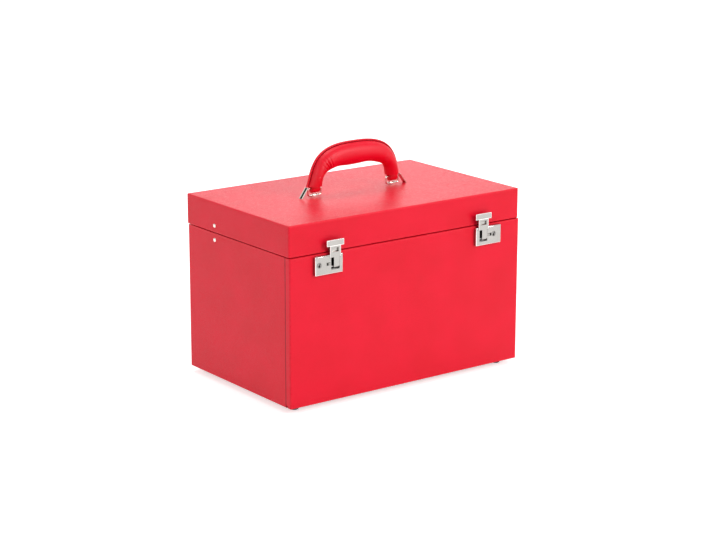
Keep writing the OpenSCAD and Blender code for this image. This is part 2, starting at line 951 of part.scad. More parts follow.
module mirror_glass() {
    w = mirror_w / 2 - mirror_border + mirror_lip - mirror_play;
    d = mirror_d / 2 - mirror_border + mirror_lip - mirror_play;
    color("lightsteelblue")
        translate([0, y_middle, z_ceiling])
            block([-w, -d, -glass_t], [w, d, 0]);
}

// The catch on the lid: a plate behind the hasp's head, with a nose behind its window
module lid_catch(right) {
    nose_gap = 0.35;
    color("silver")
        side(right)
            difference() {
                union() {
                    block([lock_in + neck_mid - catch_half_w, y_lid - catch_t, z_lid + 1],
                        [lock_in + neck_mid + catch_half_w, y_lid, z_seam + catch_rise]);
                    block([lock_in + neck_mid - window_w / 2 + 0.5, hasp_front + hasp_t + nose_gap, z_lid + 1],
                        [lock_in + neck_mid + window_w / 2 - 0.5, y_lid, z_seam + 4]);
                }
                catch_rivet_holes();
            }
}

module lid_catch_left() {
    lid_catch(false);
}

module lid_catch_right() {
    lid_catch(true);
}

// Rivets that hold the chapes in the lid's top and the catches on its front
module lid_rivets() {
    color("silver") {
        chape_rivet_places()
            translate([0, 0, z_top - skin_t - board_t])
                cylinder(r = lid_rivet_r, h = board_t);
        catch_rivet_places() {
            rod_y(0, 0, y_lid - catch_t, y_lid + skin_t + board_t, lid_rivet_r);
            rod_y(0, 0, y_lid - catch_t - lid_rivet_head_h, y_lid - catch_t, lid_rivet_head_r);
        }
    }
}

// The strap that leans from its foot on the lid up to the ring's outer leg
module chape_strap() {
    half = strap_t / 2;
    foot = [strap_foot_x, z_top];
    way = unit(strap_top - foot);
    across = half * [-way[1], way[0]];
    translate([0, y_middle + strap_w / 2, 0])
        rotate([90, 0, 0])
            linear_extrude(strap_w) {
                translate([strap_foot_x - half, plate_low])
                    square([strap_t, z_top - plate_low]);
                translate(foot)
                    circle(half);
                polygon([foot + across, foot - across, strap_top - across, strap_top + across]);
                translate(strap_top)
                    circle(half);
            }
}

// The chape: a plate under the leather, a bridge that holds the ring's lower bar, and the strap
module handle_chape(right) {
    color("silver")
        side(right)
            difference() {
                union() {
                    chape_plate(0);
                    rod_x(handle_x, y_middle, ring_low_z, bridge_r, bridge_w);
                    block([handle_x - bridge_w / 2, y_middle - bridge_r, plate_low],
                        [handle_x + bridge_w / 2, y_middle + bridge_r, ring_low_z]);
                    chape_strap();
                }
                rod_x(handle_x, y_middle, ring_low_z, wire_r + pin_play, bridge_w + 2);
                chape_rivet_holes();
            }
}

module handle_chape_left() {
    handle_chape(false);
}

module handle_chape_right() {
    handle_chape(true);
}

// Drop front

module panel_block() {
    intersection() {
        body_block();
        union() {
            block([-far, -far, z_panel], [far, y_panel, far]);
            block([-far, -far, 0], [far, y_lip, far]);
        }
    }
}

module lip_board() {
    block([-x_skin, panel_board_y[0], z_base + skin_t], [x_skin, y_lip - skin_t, z_panel + 2 * skin_t]);
}

module lock_screw_places() {
    for (s = [-1, 1], u = boss_u)
        translate([s * (lock_in + u), 0, boss_z])
            children();
}

module lock_screw_holes(r) {
    lock_screw_places()
        rod_y(0, 0, y_front - lock_t + 1, y_panel + 1, r);
}

module front_board() {
    color("burlywood")
        difference() {
            union() {
                block([-x_skin, panel_board_y[0], z_panel + skin_t], [x_skin, panel_board_y[1], z_rim - skin_t]);
                lip_board();
            }
            front_barrel_room();
            lock_screw_holes(lock_screw_r + slack);
            screw_row_y(back_screws, front_screw_step, y_panel - leaf_t - screw_len, y_panel,
                z_panel + front_screw_z, screw_r + slack);
        }
}

module front_cover() {
    color([0.92, 0.1, 0.16])
        difference() {
            panel_block();
            block([-x_skin, panel_board_y[0], z_panel + skin_t], [x_skin, y_panel + 1, z_rim - skin_t]);
            lip_board();
            front_barrel_room();
            lock_screw_holes(lock_screw_r + slack);
            block([-front_len / 2 - slack, panel_board_y[1], z_panel - 1],
                [front_len / 2 + slack, y_panel + 1, z_panel + skin_t + 1]);
        }
}

module front_lining() {
    color([0.75, 0.1, 0.14])
        difference() {
            block([-x_skin, panel_board_y[1], z_panel + skin_t], [x_skin, y_panel, z_rim - skin_t]);
            block([-front_len / 2 - slack, 0, 0] + [0, -far, 0],
                [front_len / 2 + slack, far, z_panel + front_leaf_h + slack]);
            front_barrel_room();
            lock_screw_holes(lock_screw_head_r + slack);
        }
}

module lock_screws() {
    color("silver")
        lock_screw_places() {
            rod_y(0, 0, y_front - lock_t + 1.1, panel_board_y[1], lock_screw_r);
            rod_y(0, 0, panel_board_y[1], y_panel - 0.1, lock_screw_head_r);
        }
}

// Locks

function plug_u(right) = right ? plug_right_u : plug_left_u;

// A hollow case with a slot for the hasp, a notch for its neck, a slot for the slide and a hole for the key plug
module lock_case(right) {
    back = y_front;
    front = y_front - lock_t;
    color("silver")
        side(right)
            difference() {
                union() {
                    difference() {
                        intersection() {
                            soft_block([lock_in, front, lock_bottom], [lock_in + lock_w, back + 4, lock_top], lock_r);
                            block([0, front - 1, 0], [far, back, far]);
                        }
                        block([lock_in + lock_wall, front + lock_wall, lock_bottom + lock_wall],
                            [lock_in + lock_w - lock_wall, back + 1, lock_top - lock_wall]);
                    }
                    // Ears that carry the hasp's pin
                    for (u = [slot_in - ear_w, slot_out])
                        block([lock_in + u, front + lock_wall / 2, lock_bottom + lock_wall / 2],
                            [lock_in + u + ear_w, back, lock_top - lock_wall / 2]);
                    // Bosses that take the screws
                    for (u = boss_u)
                        rod_y(lock_in + u, boss_z, front + lock_wall / 2, back, boss_r);
                }
                block([lock_in + slot_in, front - 1, slot_low], [lock_in + slot_out, back + 1, lock_top + 1]);
                block([lock_in + neck_mid - neck_w / 2 - neck_play, front - 1, neck_low - neck_play],
                    [lock_in + neck_mid + neck_w / 2 + neck_play, hasp_front + hasp_t + neck_play, lock_top + 1]);
                rod_x(lock_in + (slot_in + slot_out) / 2, hasp_axis_y, hasp_axis_z, hasp_pin_r + slack / 2,
                    slot_out - slot_in + 2 * ear_w + 1);
                block([lock_in + slide_u - slide_w / 2 - slack, front - 1, slide_z - slide_h / 2 - 0.15],
                    [lock_in + slide_u + slide_w / 2 + slide_travel + slack, front + 2, slide_z + slide_h / 2 + 0.15]);
                rod_y(lock_in + plug_u(right), plug_z, front - 1, front + lock_wall + 0.4, plug_r + pin_play);
                for (u = boss_u)
                    rod_y(lock_in + u, boss_z, front + 1, back + 1, lock_screw_r + slack / 2);
            }
}

module lock_case_left() {
    lock_case(false);
}

module lock_case_right() {
    lock_case(true);
}

module hasp_pins() {
    color("silver")
        both_sides()
            rod_x(lock_in + (slot_in + slot_out) / 2, hasp_axis_y, hasp_axis_z, hasp_pin_r,
                slot_out - slot_in + 2 * ear_w);
}

// The hasp: an eye on the pin, an arm, a neck with a window and a T head for the finger
// Both hasps are the same part, so the wider gap beside the arm is on the left in both locks
module hasp(right) {
    back = hasp_front + hasp_t;
    arm_in = slot_in + (right ? arm_gap_far : arm_gap_near);
    arm_out = slot_out - (right ? arm_gap_near : arm_gap_far);
    color("silver")
        side(right)
            difference() {
                union() {
                    rod_x(lock_in + (arm_in + arm_out) / 2, hasp_axis_y, hasp_axis_z, hasp_eye_r, arm_out - arm_in);
                    block([lock_in + arm_in, hasp_front, hasp_axis_z], [lock_in + arm_out, back, neck_low + 1]);
                    block([lock_in + neck_mid - neck_w / 2, hasp_front, neck_low],
                        [lock_in + neck_mid + neck_w / 2, back, head_low + 1]);
                    block([lock_in + neck_mid - head_w / 2, hasp_front, head_low],
                        [lock_in + neck_mid + head_w / 2, back, head_low + head_h]);
                }
                rod_x(lock_in + (arm_in + arm_out) / 2, hasp_axis_y, hasp_axis_z, hasp_pin_r + pin_play, lock_w);
                block([lock_in + neck_mid - window_w / 2, hasp_front - 1, z_seam + window_rise],
                    [lock_in + neck_mid + window_w / 2, back + 1, z_seam + window_rise + window_h]);
            }
}

module hasp_left() {
    hasp(false);
}

module hasp_right() {
    hasp(true);
}

// The thumb slide: a ribbed button on a bar behind the lock's face
module thumb_slide(right) {
    front = y_front - lock_t;
    bar_y = front + lock_wall + 0.15;
    color("silver")
        side(right)
            difference() {
                union() {
                    block([lock_in + slide_u - slide_w / 2, hasp_front, slide_z - slide_h / 2],
                        [lock_in + slide_u + slide_w / 2, bar_y + 0.2, slide_z + slide_h / 2]);
                    block([lock_in + slide_u - slide_w / 2 - 0.1, bar_y, slide_z - slide_h / 2 - 1],
                        [lock_in + slide_u + slide_w / 2 + 0.3, bar_y + slide_bar_t, slide_z + slide_h / 2 + 1]);
                }
                for (i = [-1 : 1])
                    block([lock_in + slide_u + i * 0.9 - 0.2, front - 1, slide_z - slide_h],
                        [lock_in + slide_u + i * 0.9 + 0.2, hasp_front + slide_groove, slide_z + slide_h]);
            }
}

module thumb_slide_left() {
    thumb_slide(false);
}

module thumb_slide_right() {
    thumb_slide(true);
}

module key_plug(right) {
    front = y_front - lock_t;
    color("silver")
        side(right)
            difference() {
                rod_y(lock_in + plug_u(right), plug_z, front - 0.2, front + plug_depth, plug_r);
                translate([lock_in + plug_u(right), 0, plug_z])
                    rotate([0, right ? keyhole_turn : -keyhole_turn, 0]) {
                        block([-keyhole_w / 2, front - 1, -keyhole_h / 2],
                            [keyhole_w / 2, front + plug_depth - 0.8, keyhole_h / 2]);
                        rod_y(0, keyhole_eye_r - keyhole_h / 2, front - 1, front + plug_depth - 0.8, keyhole_eye_r);
                    }
            }
}

module key_plug_left() {
    key_plug(false);
}

module key_plug_right() {
    key_plug(true);
}

// Drawers, counted from the lowest

module drawer_notch() {
    translate([0, drawer_front_t, notch_z])
        rotate([90, 0, 0])
            cylinder(r = notch_r, h = 4 * drawer_front_t, center = true);
}

module drawer(i) {
    color([0.8, 0.1, 0.15])
        translate([0, y_drawer, z_drawer + i * drawer_pitch])
            difference() {
                block([-drawer_x, 0, 0], [drawer_x, drawer_d, drawer_h]);
                block([-drawer_x + drawer_wall_t, drawer_front_t, drawer_floor_t],
                    [drawer_x - drawer_wall_t, drawer_d - drawer_wall_t, drawer_h + 1]);
                drawer_notch();
            }
}

module drawer_lining(i) {
    x = drawer_x - drawer_wall_t;
    y0 = drawer_front_t;
    y1 = drawer_d - drawer_wall_t;
    p = drawer_pad_t;
    color([0.72, 0.1, 0.14])
        translate([0, y_drawer, z_drawer + i * drawer_pitch])
            difference() {
                block([-x, y0, drawer_floor_t], [x, y1, drawer_h - 0.5]);
                block([-x + p, y0 + p, drawer_floor_t + p], [x - p, y1 - p, drawer_h + 1]);
                drawer_notch();
            }
}

module drawer_lower() {
    drawer(0);
}

module drawer_middle() {
    drawer(1);
}

module drawer_upper() {
    drawer(2);
}

module drawer_lining_lower() {
    drawer_lining(0);
}

module drawer_lining_middle() {
    drawer_lining(1);
}

module drawer_lining_upper() {
    drawer_lining(2);
}

// Handle

// A ring of wire: two bars along X, two upright legs and a quarter bend at each corner
module handle_ring(right) {
    bend = wire_r + 0.6;
    color("silver")
        side(right)
            translate([handle_x, y_middle, (ring_low_z + ring_high_z) / 2]) {
                for (z = [-1, 1])
                    rod_x(0, 0, z * ring_h / 2, wire_r, ring_w - 2 * bend);
                for (x = [-1, 1])
                    translate([x * ring_w / 2, 0, 0])
                        cylinder(r = wire_r, h = ring_h - 2 * bend, center = true);
                for (turn = [0, 90, 180, 270]) {
                    half = turn % 180 == 0 ? [ring_w / 2, ring_h / 2] : [ring_h / 2, ring_w / 2];
                    rotate([90, 0, 0])
                        rotate([0, 0, turn])
                            translate([half[0] - bend, half[1] - bend, 0])
                                rotate_extrude(angle = 90)
                                    translate([bend, 0])
                                        circle(wire_r);
                }
            }
}

module handle_ring_left() {
    handle_ring(false);
}

module handle_ring_right() {
    handle_ring(true);
}

// The strap inside the grip, as an outline in the arch's plane, thickened by t
module core_outline(t) {
    steps = [for (i = [0 : grip_rings]) ring_angle(i)];
    above = [for (a = steps) arch(a) + t / 2 * [-arch_way(a)[1], arch_way(a)[0]]];
    below = [for (i = [grip_rings : -1 : 0]) arch(steps[i]) - t / 2 * [-arch_way(steps[i])[1], arch_way(steps[i])[0]]];
    polygon(concat(above, below));
}

module core_strap(t, w) {
    translate([0, y_middle + w / 2, 0])
        rotate([90, 0, 0])
            linear_extrude(w)
                core_outline(t);
}

module handle_core() {
    color("silver")
        difference() {
            union() {
                core_strap(core_t, core_w);
                both_sides()
                    rod_x(handle_x, y_middle, ring_high_z, core_eye_r, core_eye_w);
            }
            both_sides()
                rod_x(handle_x, y_middle, ring_high_z, wire_r + pin_play, core_eye_w + 4);
        }
}

// One ring of points round the grip's centre line
function grip_ring(t) = let (c = arch(t), way = arch_way(t), out = [-way[1], way[0]])
    [for (k = [0 : grip_sides - 1]) let (a = 360 * k / grip_sides)
        [c[0] + out[0] * grip_half(t) * sin(a), y_middle + grip_side(t) * cos(a),
            c[1] + out[1] * grip_half(t) * sin(a)]];

module grip_solid() {
    rings = [for (i = [0 : grip_rings]) grip_ring(leg_angle(i))];
    points = [for (r = rings) each r];
    n = grip_sides;
    last = n * grip_rings;
    sides = [for (i = [0 : grip_rings - 1], k = [0 : n - 1]) let (a = i * n + k, b = i * n + (k + 1) % n)
        each [[a, b + n, b], [a, a + n, b + n]]];
    polyhedron(points, concat(sides, [[for (k = [0 : n - 1]) k], [for (k = [n - 1 : -1 : 0]) last + k]]));
}

// The leather's end, an oval round the ring's upper bar
module leather_end() {
    translate([handle_x, y_middle, ring_high_z])
        scale([1, end_wide / eye_leather_r, 1])
            rod_x(0, 0, 0, eye_leather_r, eye_leather_w);
}

module handle_grip() {
    color([0.88, 0.06, 0.12])
        difference() {
            union() {
                grip_solid();
                both_sides()
                    leather_end();
            }
            core_strap(core_t + 2 * slack, core_w + 2 * slack);
            both_sides() {
                rod_x(handle_x, y_middle, ring_high_z, core_eye_r + slack, core_eye_w + 2 * slack);
                rod_x(handle_x, y_middle, ring_high_z, wire_r + 0.35, eye_leather_w + 2);
            }
        }
}

base_board();
left_wall_board();
right_wall_board();
back_wall_board();
body_cover();
body_lining();
drawer_shelves();
top_insert();
ring_rolls();
feet();
foot_screws();
case_hinge_screws();
back_hinge_body_leaf();
front_hinge_base_leaf();
hinge_pins();
case_stay_rivets();
lid_core();
lid_cover();
lid_lining();
mirror_glass();
mirror_frame();
back_hinge_lid_leaf();
lid_hinge_screws();
lid_stay_rivets();
lid_catch_left();
lid_catch_right();
lid_rivets();
handle_chape_left();
handle_chape_right();
front_board();
front_cover();
front_lining();
front_hinge_panel_leaf();
panel_hinge_screws();
lock_case_left();
lock_case_right();
hasp_pins();
lock_screws();
drawer_lower();
drawer_middle();
drawer_upper();
drawer_lining_lower();
drawer_lining_middle();
drawer_lining_upper();
stay_lower_left();
stay_lower_right();
stay_upper_left();
stay_upper_right();
stay_mid_rivet_left();
stay_mid_rivet_right();
handle_ring_left();
handle_ring_right();
handle_grip();
handle_core();
hasp_left();
hasp_right();
thumb_slide_left();
thumb_slide_right();
key_plug_left();
key_plug_right();
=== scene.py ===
import json
import math

import bmesh
import bpy
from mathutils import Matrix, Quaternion, Vector


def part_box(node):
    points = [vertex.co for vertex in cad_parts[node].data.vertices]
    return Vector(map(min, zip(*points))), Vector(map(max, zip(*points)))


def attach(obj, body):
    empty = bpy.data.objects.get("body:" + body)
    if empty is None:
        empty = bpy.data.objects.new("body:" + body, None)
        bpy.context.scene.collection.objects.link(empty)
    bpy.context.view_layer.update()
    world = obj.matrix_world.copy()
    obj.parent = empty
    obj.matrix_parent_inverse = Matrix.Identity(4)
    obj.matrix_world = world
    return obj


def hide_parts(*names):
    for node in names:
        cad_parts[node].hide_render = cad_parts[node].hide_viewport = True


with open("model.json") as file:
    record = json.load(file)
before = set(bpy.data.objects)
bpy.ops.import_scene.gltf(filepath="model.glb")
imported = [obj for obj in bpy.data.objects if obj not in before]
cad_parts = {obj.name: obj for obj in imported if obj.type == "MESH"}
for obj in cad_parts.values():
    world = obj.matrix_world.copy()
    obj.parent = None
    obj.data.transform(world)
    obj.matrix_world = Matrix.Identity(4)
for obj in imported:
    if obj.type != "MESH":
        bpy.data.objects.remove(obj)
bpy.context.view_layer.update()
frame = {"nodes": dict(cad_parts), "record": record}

scene = bpy.context.scene
SIDES = {"left": -1, "right": 1}

# Handle sizes shared with the model, in metres

# Thick, wide and end sizes are measured from the middle
HANDLE_X = 0.0565
HANDLE_RISE = 0.0365
HANDLE_POWER = 2.7
GRIP_THICK = 0.0133
LEG_THICK = 0.0088
GRIP_WIDE = 0.0104
LEG_WIDE = 0.0088
GRIP_END = 0.0047
END_WIDE = 0.0049
EYE_LEATHER_R = 0.0057
LEG_STEP = 0.0019
RING_HIGH_Z = 0.2261
MIDDLE_Y = 0.0008
WIRE_ROOM_R = 0.0016

# Shares of the handle's rise between which the legs thicken, and up to which they widen and flare

LEG_STRAIGHT = 0.4
LEG_SWELL = 1.0
SIDE_SWELL = 0.4
FLARE_RISE = 0.2

# Flare of the outer side at the foot of the left and the right leg, in metres
FLARE = {-1: 0.003, 1: 0.0006}

# Angles between faces up to which they are shaded smooth, in degrees

SMOOTH_DEG = 40
PLATE_SMOOTH_DEG = 30
GRIP_SMOOTH_DEG = 50
ROUND_SMOOTH_DEG = 60

ROUND_SEGMENTS = 32


# Small helpers for meshes

def new_object(name, bm, smooth_deg=SMOOTH_DEG):
    """An object made from bm, with faces smooth up to the given angle between them."""
    mesh = bpy.data.meshes.new(name)
    bm.normal_update()
    bm.to_mesh(mesh)
    bm.free()
    obj = bpy.data.objects.new(name, mesh)
    scene.collection.objects.link(obj)
    for polygon in mesh.polygons:
        polygon.use_smooth = True
    mesh.set_sharp_from_angle(angle=math.radians(smooth_deg))
    return obj


def set_material(obj, material):
    """Gives the whole object one material."""
    obj.data.materials.clear()
    obj.data.materials.append(material)


def bake_modifiers(obj):
    """Puts the result of the object's modifiers into its mesh."""
    graph = bpy.context.evaluated_depsgraph_get()
    mesh = bpy.data.meshes.new_from_object(obj.evaluated_get(graph))
    obj.modifiers.clear()
    old = obj.data
    obj.data = mesh
    bpy.data.meshes.remove(old)


def add_part(obj, part, operation):
    """Joins another closed mesh to obj, or cuts it away."""
    change = obj.modifiers.new("change", "BOOLEAN")
    change.operation = operation
    change.solver = "EXACT"
    change.object = part
    bake_modifiers(obj)
    bpy.data.objects.remove(part)


def tube_of_rings(bm, rings):
    """Faces between rings of the same number of points, with caps at both ends."""
    rows = [[bm.verts.new(point) for point in ring] for ring in rings]
    count = len(rows[0])
    for low, high in zip(rows, rows[1:]):
        for k in range(count):
            after = (k + 1) % count
            bm.faces.new((low[k], low[after], high[after], high[k]))
    bm.faces.new(list(reversed(rows[0])))
    bm.faces.new(rows[-1])


def fix_normals(bm):
    """Turns all faces outward."""
    bmesh.ops.recalc_face_normals(bm, faces=bm.faces)


def rounded_plate(bm, low, high, bevel):
    """A plate from one corner to the other with softened edges."""
    made = bmesh.ops.create_cube(bm, size=1.0)
    size = high - low
    middle = (low + high) / 2
    for vert in made["verts"]:
        vert.co = Vector((vert.co.x * size.x, vert.co.y * size.y, vert.co.z * size.z)) + middle
    edges = list({edge for vert in made["verts"] for edge in vert.link_edges})
    bmesh.ops.bevel(bm, geom=edges, offset=bevel, segments=2, affect="EDGES", profile=0.5)


def round_bar(bm, radius, length, axis, place):
    """A round bar of the given length in its place, turned a quarter about the axis from upright."""
    bmesh.ops.create_cone(bm, cap_ends=True, segments=ROUND_SEGMENTS, radius1=radius, radius2=radius,
                          depth=length)
    turn = Quaternion(axis, math.pi / 2).to_matrix()
    bmesh.ops.rotate(bm, verts=bm.verts, cent=(0, 0, 0), matrix=turn)
    bmesh.ops.translate(bm, verts=bm.verts, vec=place)


# Small helpers for materials

# Noise values mostly lie between these two
NOISE_LOW = 0.3
NOISE_HIGH = 0.7


def new_material(name):
    """A new material with its node tree and its shader."""
    material = bpy.data.materials.new(name)
    material.use_nodes = True
    tree = material.node_tree
    tree.nodes.clear()
    out = tree.nodes.new("ShaderNodeOutputMaterial")
    shader = tree.nodes.new("ShaderNodeBsdfPrincipled")
    tree.links.new(shader.outputs["BSDF"], out.inputs["Surface"])
    return material, tree, shader


def node(tree, kind, **values):
    """A new node with the given settings."""
    made = tree.nodes.new(kind)
    for key, value in values.items():
        setattr(made, key, value)
    return made


def object_place(tree):
    """The point's place on the object, in metres."""
    return node(tree, "ShaderNodeTexCoord").outputs["Object"]


def split(tree, place):
    """The three coordinates of a place."""
    parts = node(tree, "ShaderNodeSeparateXYZ")
    tree.links.new(place, parts.inputs["Vector"])
    return parts.outputs


def stretched(tree, place, scale):
    """The place with each coordinate multiplied by its own scale."""
    mapping = node(tree, "ShaderNodeMapping")
    mapping.inputs["Scale"].default_value = scale
    tree.links.new(place, mapping.inputs["Vector"])
    return mapping.outputs["Vector"]


def noise(tree, place, scale, detail, roughness=0.5):
    """Soft noise between zero and one."""
    made = node(tree, "ShaderNodeTexNoise")
    made.inputs["Scale"].default_value = scale
    made.inputs["Detail"].default_value = detail
    made.inputs["Roughness"].default_value = roughness
    tree.links.new(place, made.inputs["Vector"])
    return made.outputs["Fac"]


def cells(tree, place, scale):
    """Distance from the walls between irregular cells."""
    made = node(tree, "ShaderNodeTexVoronoi", feature="DISTANCE_TO_EDGE")
    made.inputs["Scale"].default_value = scale
    tree.links.new(place, made.inputs["Vector"])
    return made.outputs["Distance"]


def remap(tree, value, to_low, to_high, low=NOISE_LOW, high=NOISE_HIGH):
    """Moves values from between low and high to between to_low and to_high, and holds the rest at these."""
    made = node(tree, "ShaderNodeMapRange")
    for key, number in (("From Min", low), ("From Max", high), ("To Min", to_low), ("To Max", to_high)):
        made.inputs[key].default_value = number
    tree.links.new(value, made.inputs["Value"])
    return made.outputs["Result"]


def math_node(tree, operation, first, second=0.0):
    """The result of one operation on numbers or on other nodes' outputs."""
    made = node(tree, "ShaderNodeMath", operation=operation)
    for socket, value in zip(made.inputs, (first, second)):
        if isinstance(value, (int, float)):
            socket.default_value = value
        else:
            tree.links.new(value, socket)
    return made.outputs["Value"]


def away_from(tree, value, middle):
    """How far a value is from the middle."""
    return math_node(tree, "ABSOLUTE", math_node(tree, "SUBTRACT", value, middle))


def mix_colours(tree, factor, first, second):
    """The first colour where the factor is zero and the second where it is one."""
    made = node(tree, "ShaderNodeMix", data_type="RGBA")
    tree.links.new(factor, made.inputs[0])
    for socket, value in ((made.inputs[6], first), (made.inputs[7], second)):
        if isinstance(value, tuple):
            socket.default_value = (*value, 1.0)
        else:
            tree.links.new(value, socket)
    return made.outputs[2]


def bump(tree, shader, height, distance, strength, under=None):
    """Relief of the given depth, on top of another relief where there is one."""
    made = node(tree, "ShaderNodeBump")
    made.inputs["Distance"].default_value = distance
    made.inputs["Strength"].default_value = strength
    tree.links.new(height, made.inputs["Height"])
    if under is not None:
        tree.links.new(under, made.inputs["Normal"])
    tree.links.new(made.outputs["Normal"], shader.inputs["Normal"])
    return made.outputs["Normal"]


def darker(colour, share):
    """The colour at a share of its brightness."""
    return tuple(share * part for part in colour)


def box_gaps(tree, place, low, high):
    """The least and the second least of a point's distances from the sides of a box."""
    parts = split(tree, place)
    gaps = []
    for axis, least, most in zip("XYZ", low, high):
        away = away_from(tree, parts[axis], (least + most) / 2)
        gaps.append(math_node(tree, "SUBTRACT", (most - least) / 2, away))
    least_two = math_node(tree, "MINIMUM", gaps[0], gaps[1])
    most_two = math_node(tree, "MAXIMUM", gaps[0], gaps[1])
    second = math_node(tree, "MAXIMUM", least_two, math_node(tree, "MINIMUM", most_two, gaps[2]))
    return math_node(tree, "MINIMUM", least_two, gaps[2]), second


def edge_closeness(tree, place, low, high, reach):
    """One on the edges of a box and zero further from them than reach."""
    return remap(tree, box_gaps(tree, place, low, high)[1], 1.0, 0.0, low=0.0, high=reach)


# How far outside its box a point may lie and still count as on the rim, in metres
RIM_PLAY = 0.0002


def rim_mask(tree, place, boxes, flat, reach):
    """One along the edges of the given boxes, zero elsewhere, outside them and above their top heights."""
    height = split(tree, place)["Z"]
    whole = None
    for low, high, top in boxes:
        least, second = box_gaps(tree, place, low, high)
        inside = math_node(tree, "GREATER_THAN", least, -RIM_PLAY)
        below = math_node(tree, "LESS_THAN", height, top)
        mask = math_node(tree, "MULTIPLY", inside, remap(tree, second, 1.0, 0.0, low=flat, high=reach))
        mask = math_node(tree, "MULTIPLY", mask, below)
        whole = mask if whole is None else math_node(tree, "MAXIMUM", whole, mask)
    return whole


# Leather: scales are per metre, and depths and distances in metres

DYE_SCALE = 26.0
DYE_LOW = 0.35
FINE_SCALE = 420.0
PEBBLE_SCALE = 1500.0
LEATHER_DETAIL = 3.0
PORE_REACH = 0.12
PORE_SHARE = 0.35
PORE_SHADE = 0.6
PEBBLE_REACH = 0.25
PEBBLE_DEPTH = 0.00006
PEBBLE_STRENGTH = 0.7
WAVE_DEPTH = 0.0006
WAVE_STRENGTH = 0.35
LEATHER_POLISH = 0.05
LEATHER_DULLNESS = 0.08
# Lighter edges: partly rubbed wear, partly a painted highlight along the edges of the covers
RUB_AND_HIGHLIGHT_REACH = 0.0022
RUB_AND_HIGHLIGHT_SHARE = 0.3
RUB_AND_HIGHLIGHT_LOW = 0.35
RUB_AND_HIGHLIGHT_HIGH = 0.6
RUBBED_AND_HIGHLIGHT_RED = (0.92, 0.07, 0.085)
# Painted shade along a seam: a dark band standing in for the shade in the gap between the front panel and the
# sides
SEAM_SHADE_FULL_TO = 0.0005
SEAM_SHADE_FADES_TO = 0.001
SEAM_SHADE_SHARE = 0.8
SEAM_SHADE_RED = (0.3, 0.001, 0.008)


def leather(name, colour, shade, roughness=0.38, box=None, gloss=0.25, shade_seam_y=None):
    """Smooth dyed leather with a fine pebble grain, soft waves, uneven dye, lighter edges that are partly
    rubbed and partly a painted highlight, and painted shade along a seam.
    """
    material, tree, shader = new_material(name)
    place = object_place(tree)
    dye = noise(tree, place, DYE_SCALE, LEATHER_DETAIL)
    fine = noise(tree, place, FINE_SCALE, LEATHER_DETAIL)
    pebbles = cells(tree, place, PEBBLE_SCALE)
    tint = mix_colours(tree, remap(tree, dye, 0.0, 1.0, low=DYE_LOW), colour, shade)
    pores = remap(tree, pebbles, PORE_SHARE, 0.0, low=0.0, high=PORE_REACH)
    tint = mix_colours(tree, pores, tint, darker(shade, PORE_SHADE))
    # Lightens the edges: partly rubbed wear, partly a painted highlight
    if box is not None:
        patchy = remap(tree, fine, 0.0, RUB_AND_HIGHLIGHT_SHARE, low=RUB_AND_HIGHLIGHT_LOW, high=RUB_AND_HIGHLIGHT_HIGH)
        rubbed_and_highlight = math_node(tree, "MULTIPLY", edge_closeness(tree, place, *box, RUB_AND_HIGHLIGHT_REACH), patchy)
        tint = mix_colours(tree, rubbed_and_highlight, tint, RUBBED_AND_HIGHLIGHT_RED)
    # Painted shade: a dark band along the seam, where the gap between the panel and the sides is shaded
    if shade_seam_y is not None:
        away = away_from(tree, split(tree, place)["Y"], shade_seam_y)
        seam_shade = remap(tree, away, SEAM_SHADE_SHARE, 0.0, low=SEAM_SHADE_FULL_TO, high=SEAM_SHADE_FADES_TO)
        tint = mix_colours(tree, seam_shade, tint, SEAM_SHADE_RED)
    tree.links.new(tint, shader.inputs["Base Color"])
    uneven = remap(tree, fine, roughness - LEATHER_POLISH, roughness + LEATHER_DULLNESS)
    tree.links.new(uneven, shader.inputs["Roughness"])
    shader.inputs["Specular IOR Level"].default_value = gloss
    waves = bump(tree, shader, dye, WAVE_DEPTH, WAVE_STRENGTH)
    grain = remap(tree, pebbles, 0.0, 1.0, low=0.0, high=PEBBLE_REACH)
    bump(tree, shader, grain, PEBBLE_DEPTH, PEBBLE_STRENGTH, under=waves)
    return material


# Suede

NAP_SCALE = 45.0
NAP_DETAIL = 5.0
NAP_ROUGHNESS = 0.6
FIBRE_SCALE = 2600.0
FIBRE_DETAIL = 2.0
FIBRE_LOW = 0.35
FIBRE_SHARE = 0.35
FIBRE_SHADE = 0.5
FIBRE_DEPTH = 0.00025
FIBRE_STRENGTH = 0.6
SUEDE_VALUES = {
    "Roughness": 0.95,
    "Specular IOR Level": 0.15,
    "Sheen Weight": 0.35,
    "Sheen Roughness": 0.4,
    "Sheen Tint": (1.0, 0.45, 0.45, 1.0),
}


def suede(name, colour, shade):
    """Napped suede: soft, rough, with brushed patches and short fibres."""
    material, tree, shader = new_material(name)
    place = object_place(tree)
    brushed = noise(tree, place, NAP_SCALE, NAP_DETAIL, NAP_ROUGHNESS)
    fibres = noise(tree, place, FIBRE_SCALE, FIBRE_DETAIL)
    tint = mix_colours(tree, remap(tree, brushed, 0.0, 1.0), colour, shade)
    between = remap(tree, fibres, 0.0, FIBRE_SHARE, low=FIBRE_LOW)
    tint = mix_colours(tree, between, tint, darker(shade, FIBRE_SHADE))
    tree.links.new(tint, shader.inputs["Base Color"])
    for key, value in SUEDE_VALUES.items():
        shader.inputs[key].default_value = value
    bump(tree, shader, fibres, FIBRE_DEPTH, FIBRE_STRENGTH)
    return material


# Metal

BRUSH_STRETCH = (500.0, 60.0, 500.0)
STREAK_SCALE = 3.0
STREAK_DETAIL = 3.0
CLOUD_SCALE = 60.0
CLOUD_DETAIL = 5.0
CLOUD_ROUGHNESS = 0.65
CLOUD_HIGH = 0.75
WEAR_LOW = 0.1
WEAR_HIGH = 0.5
METAL_POLISH = 0.03
METAL_DULLNESS = 0.06
STREAK_DEPTH = 0.00001
STREAK_STRENGTH = 0.3


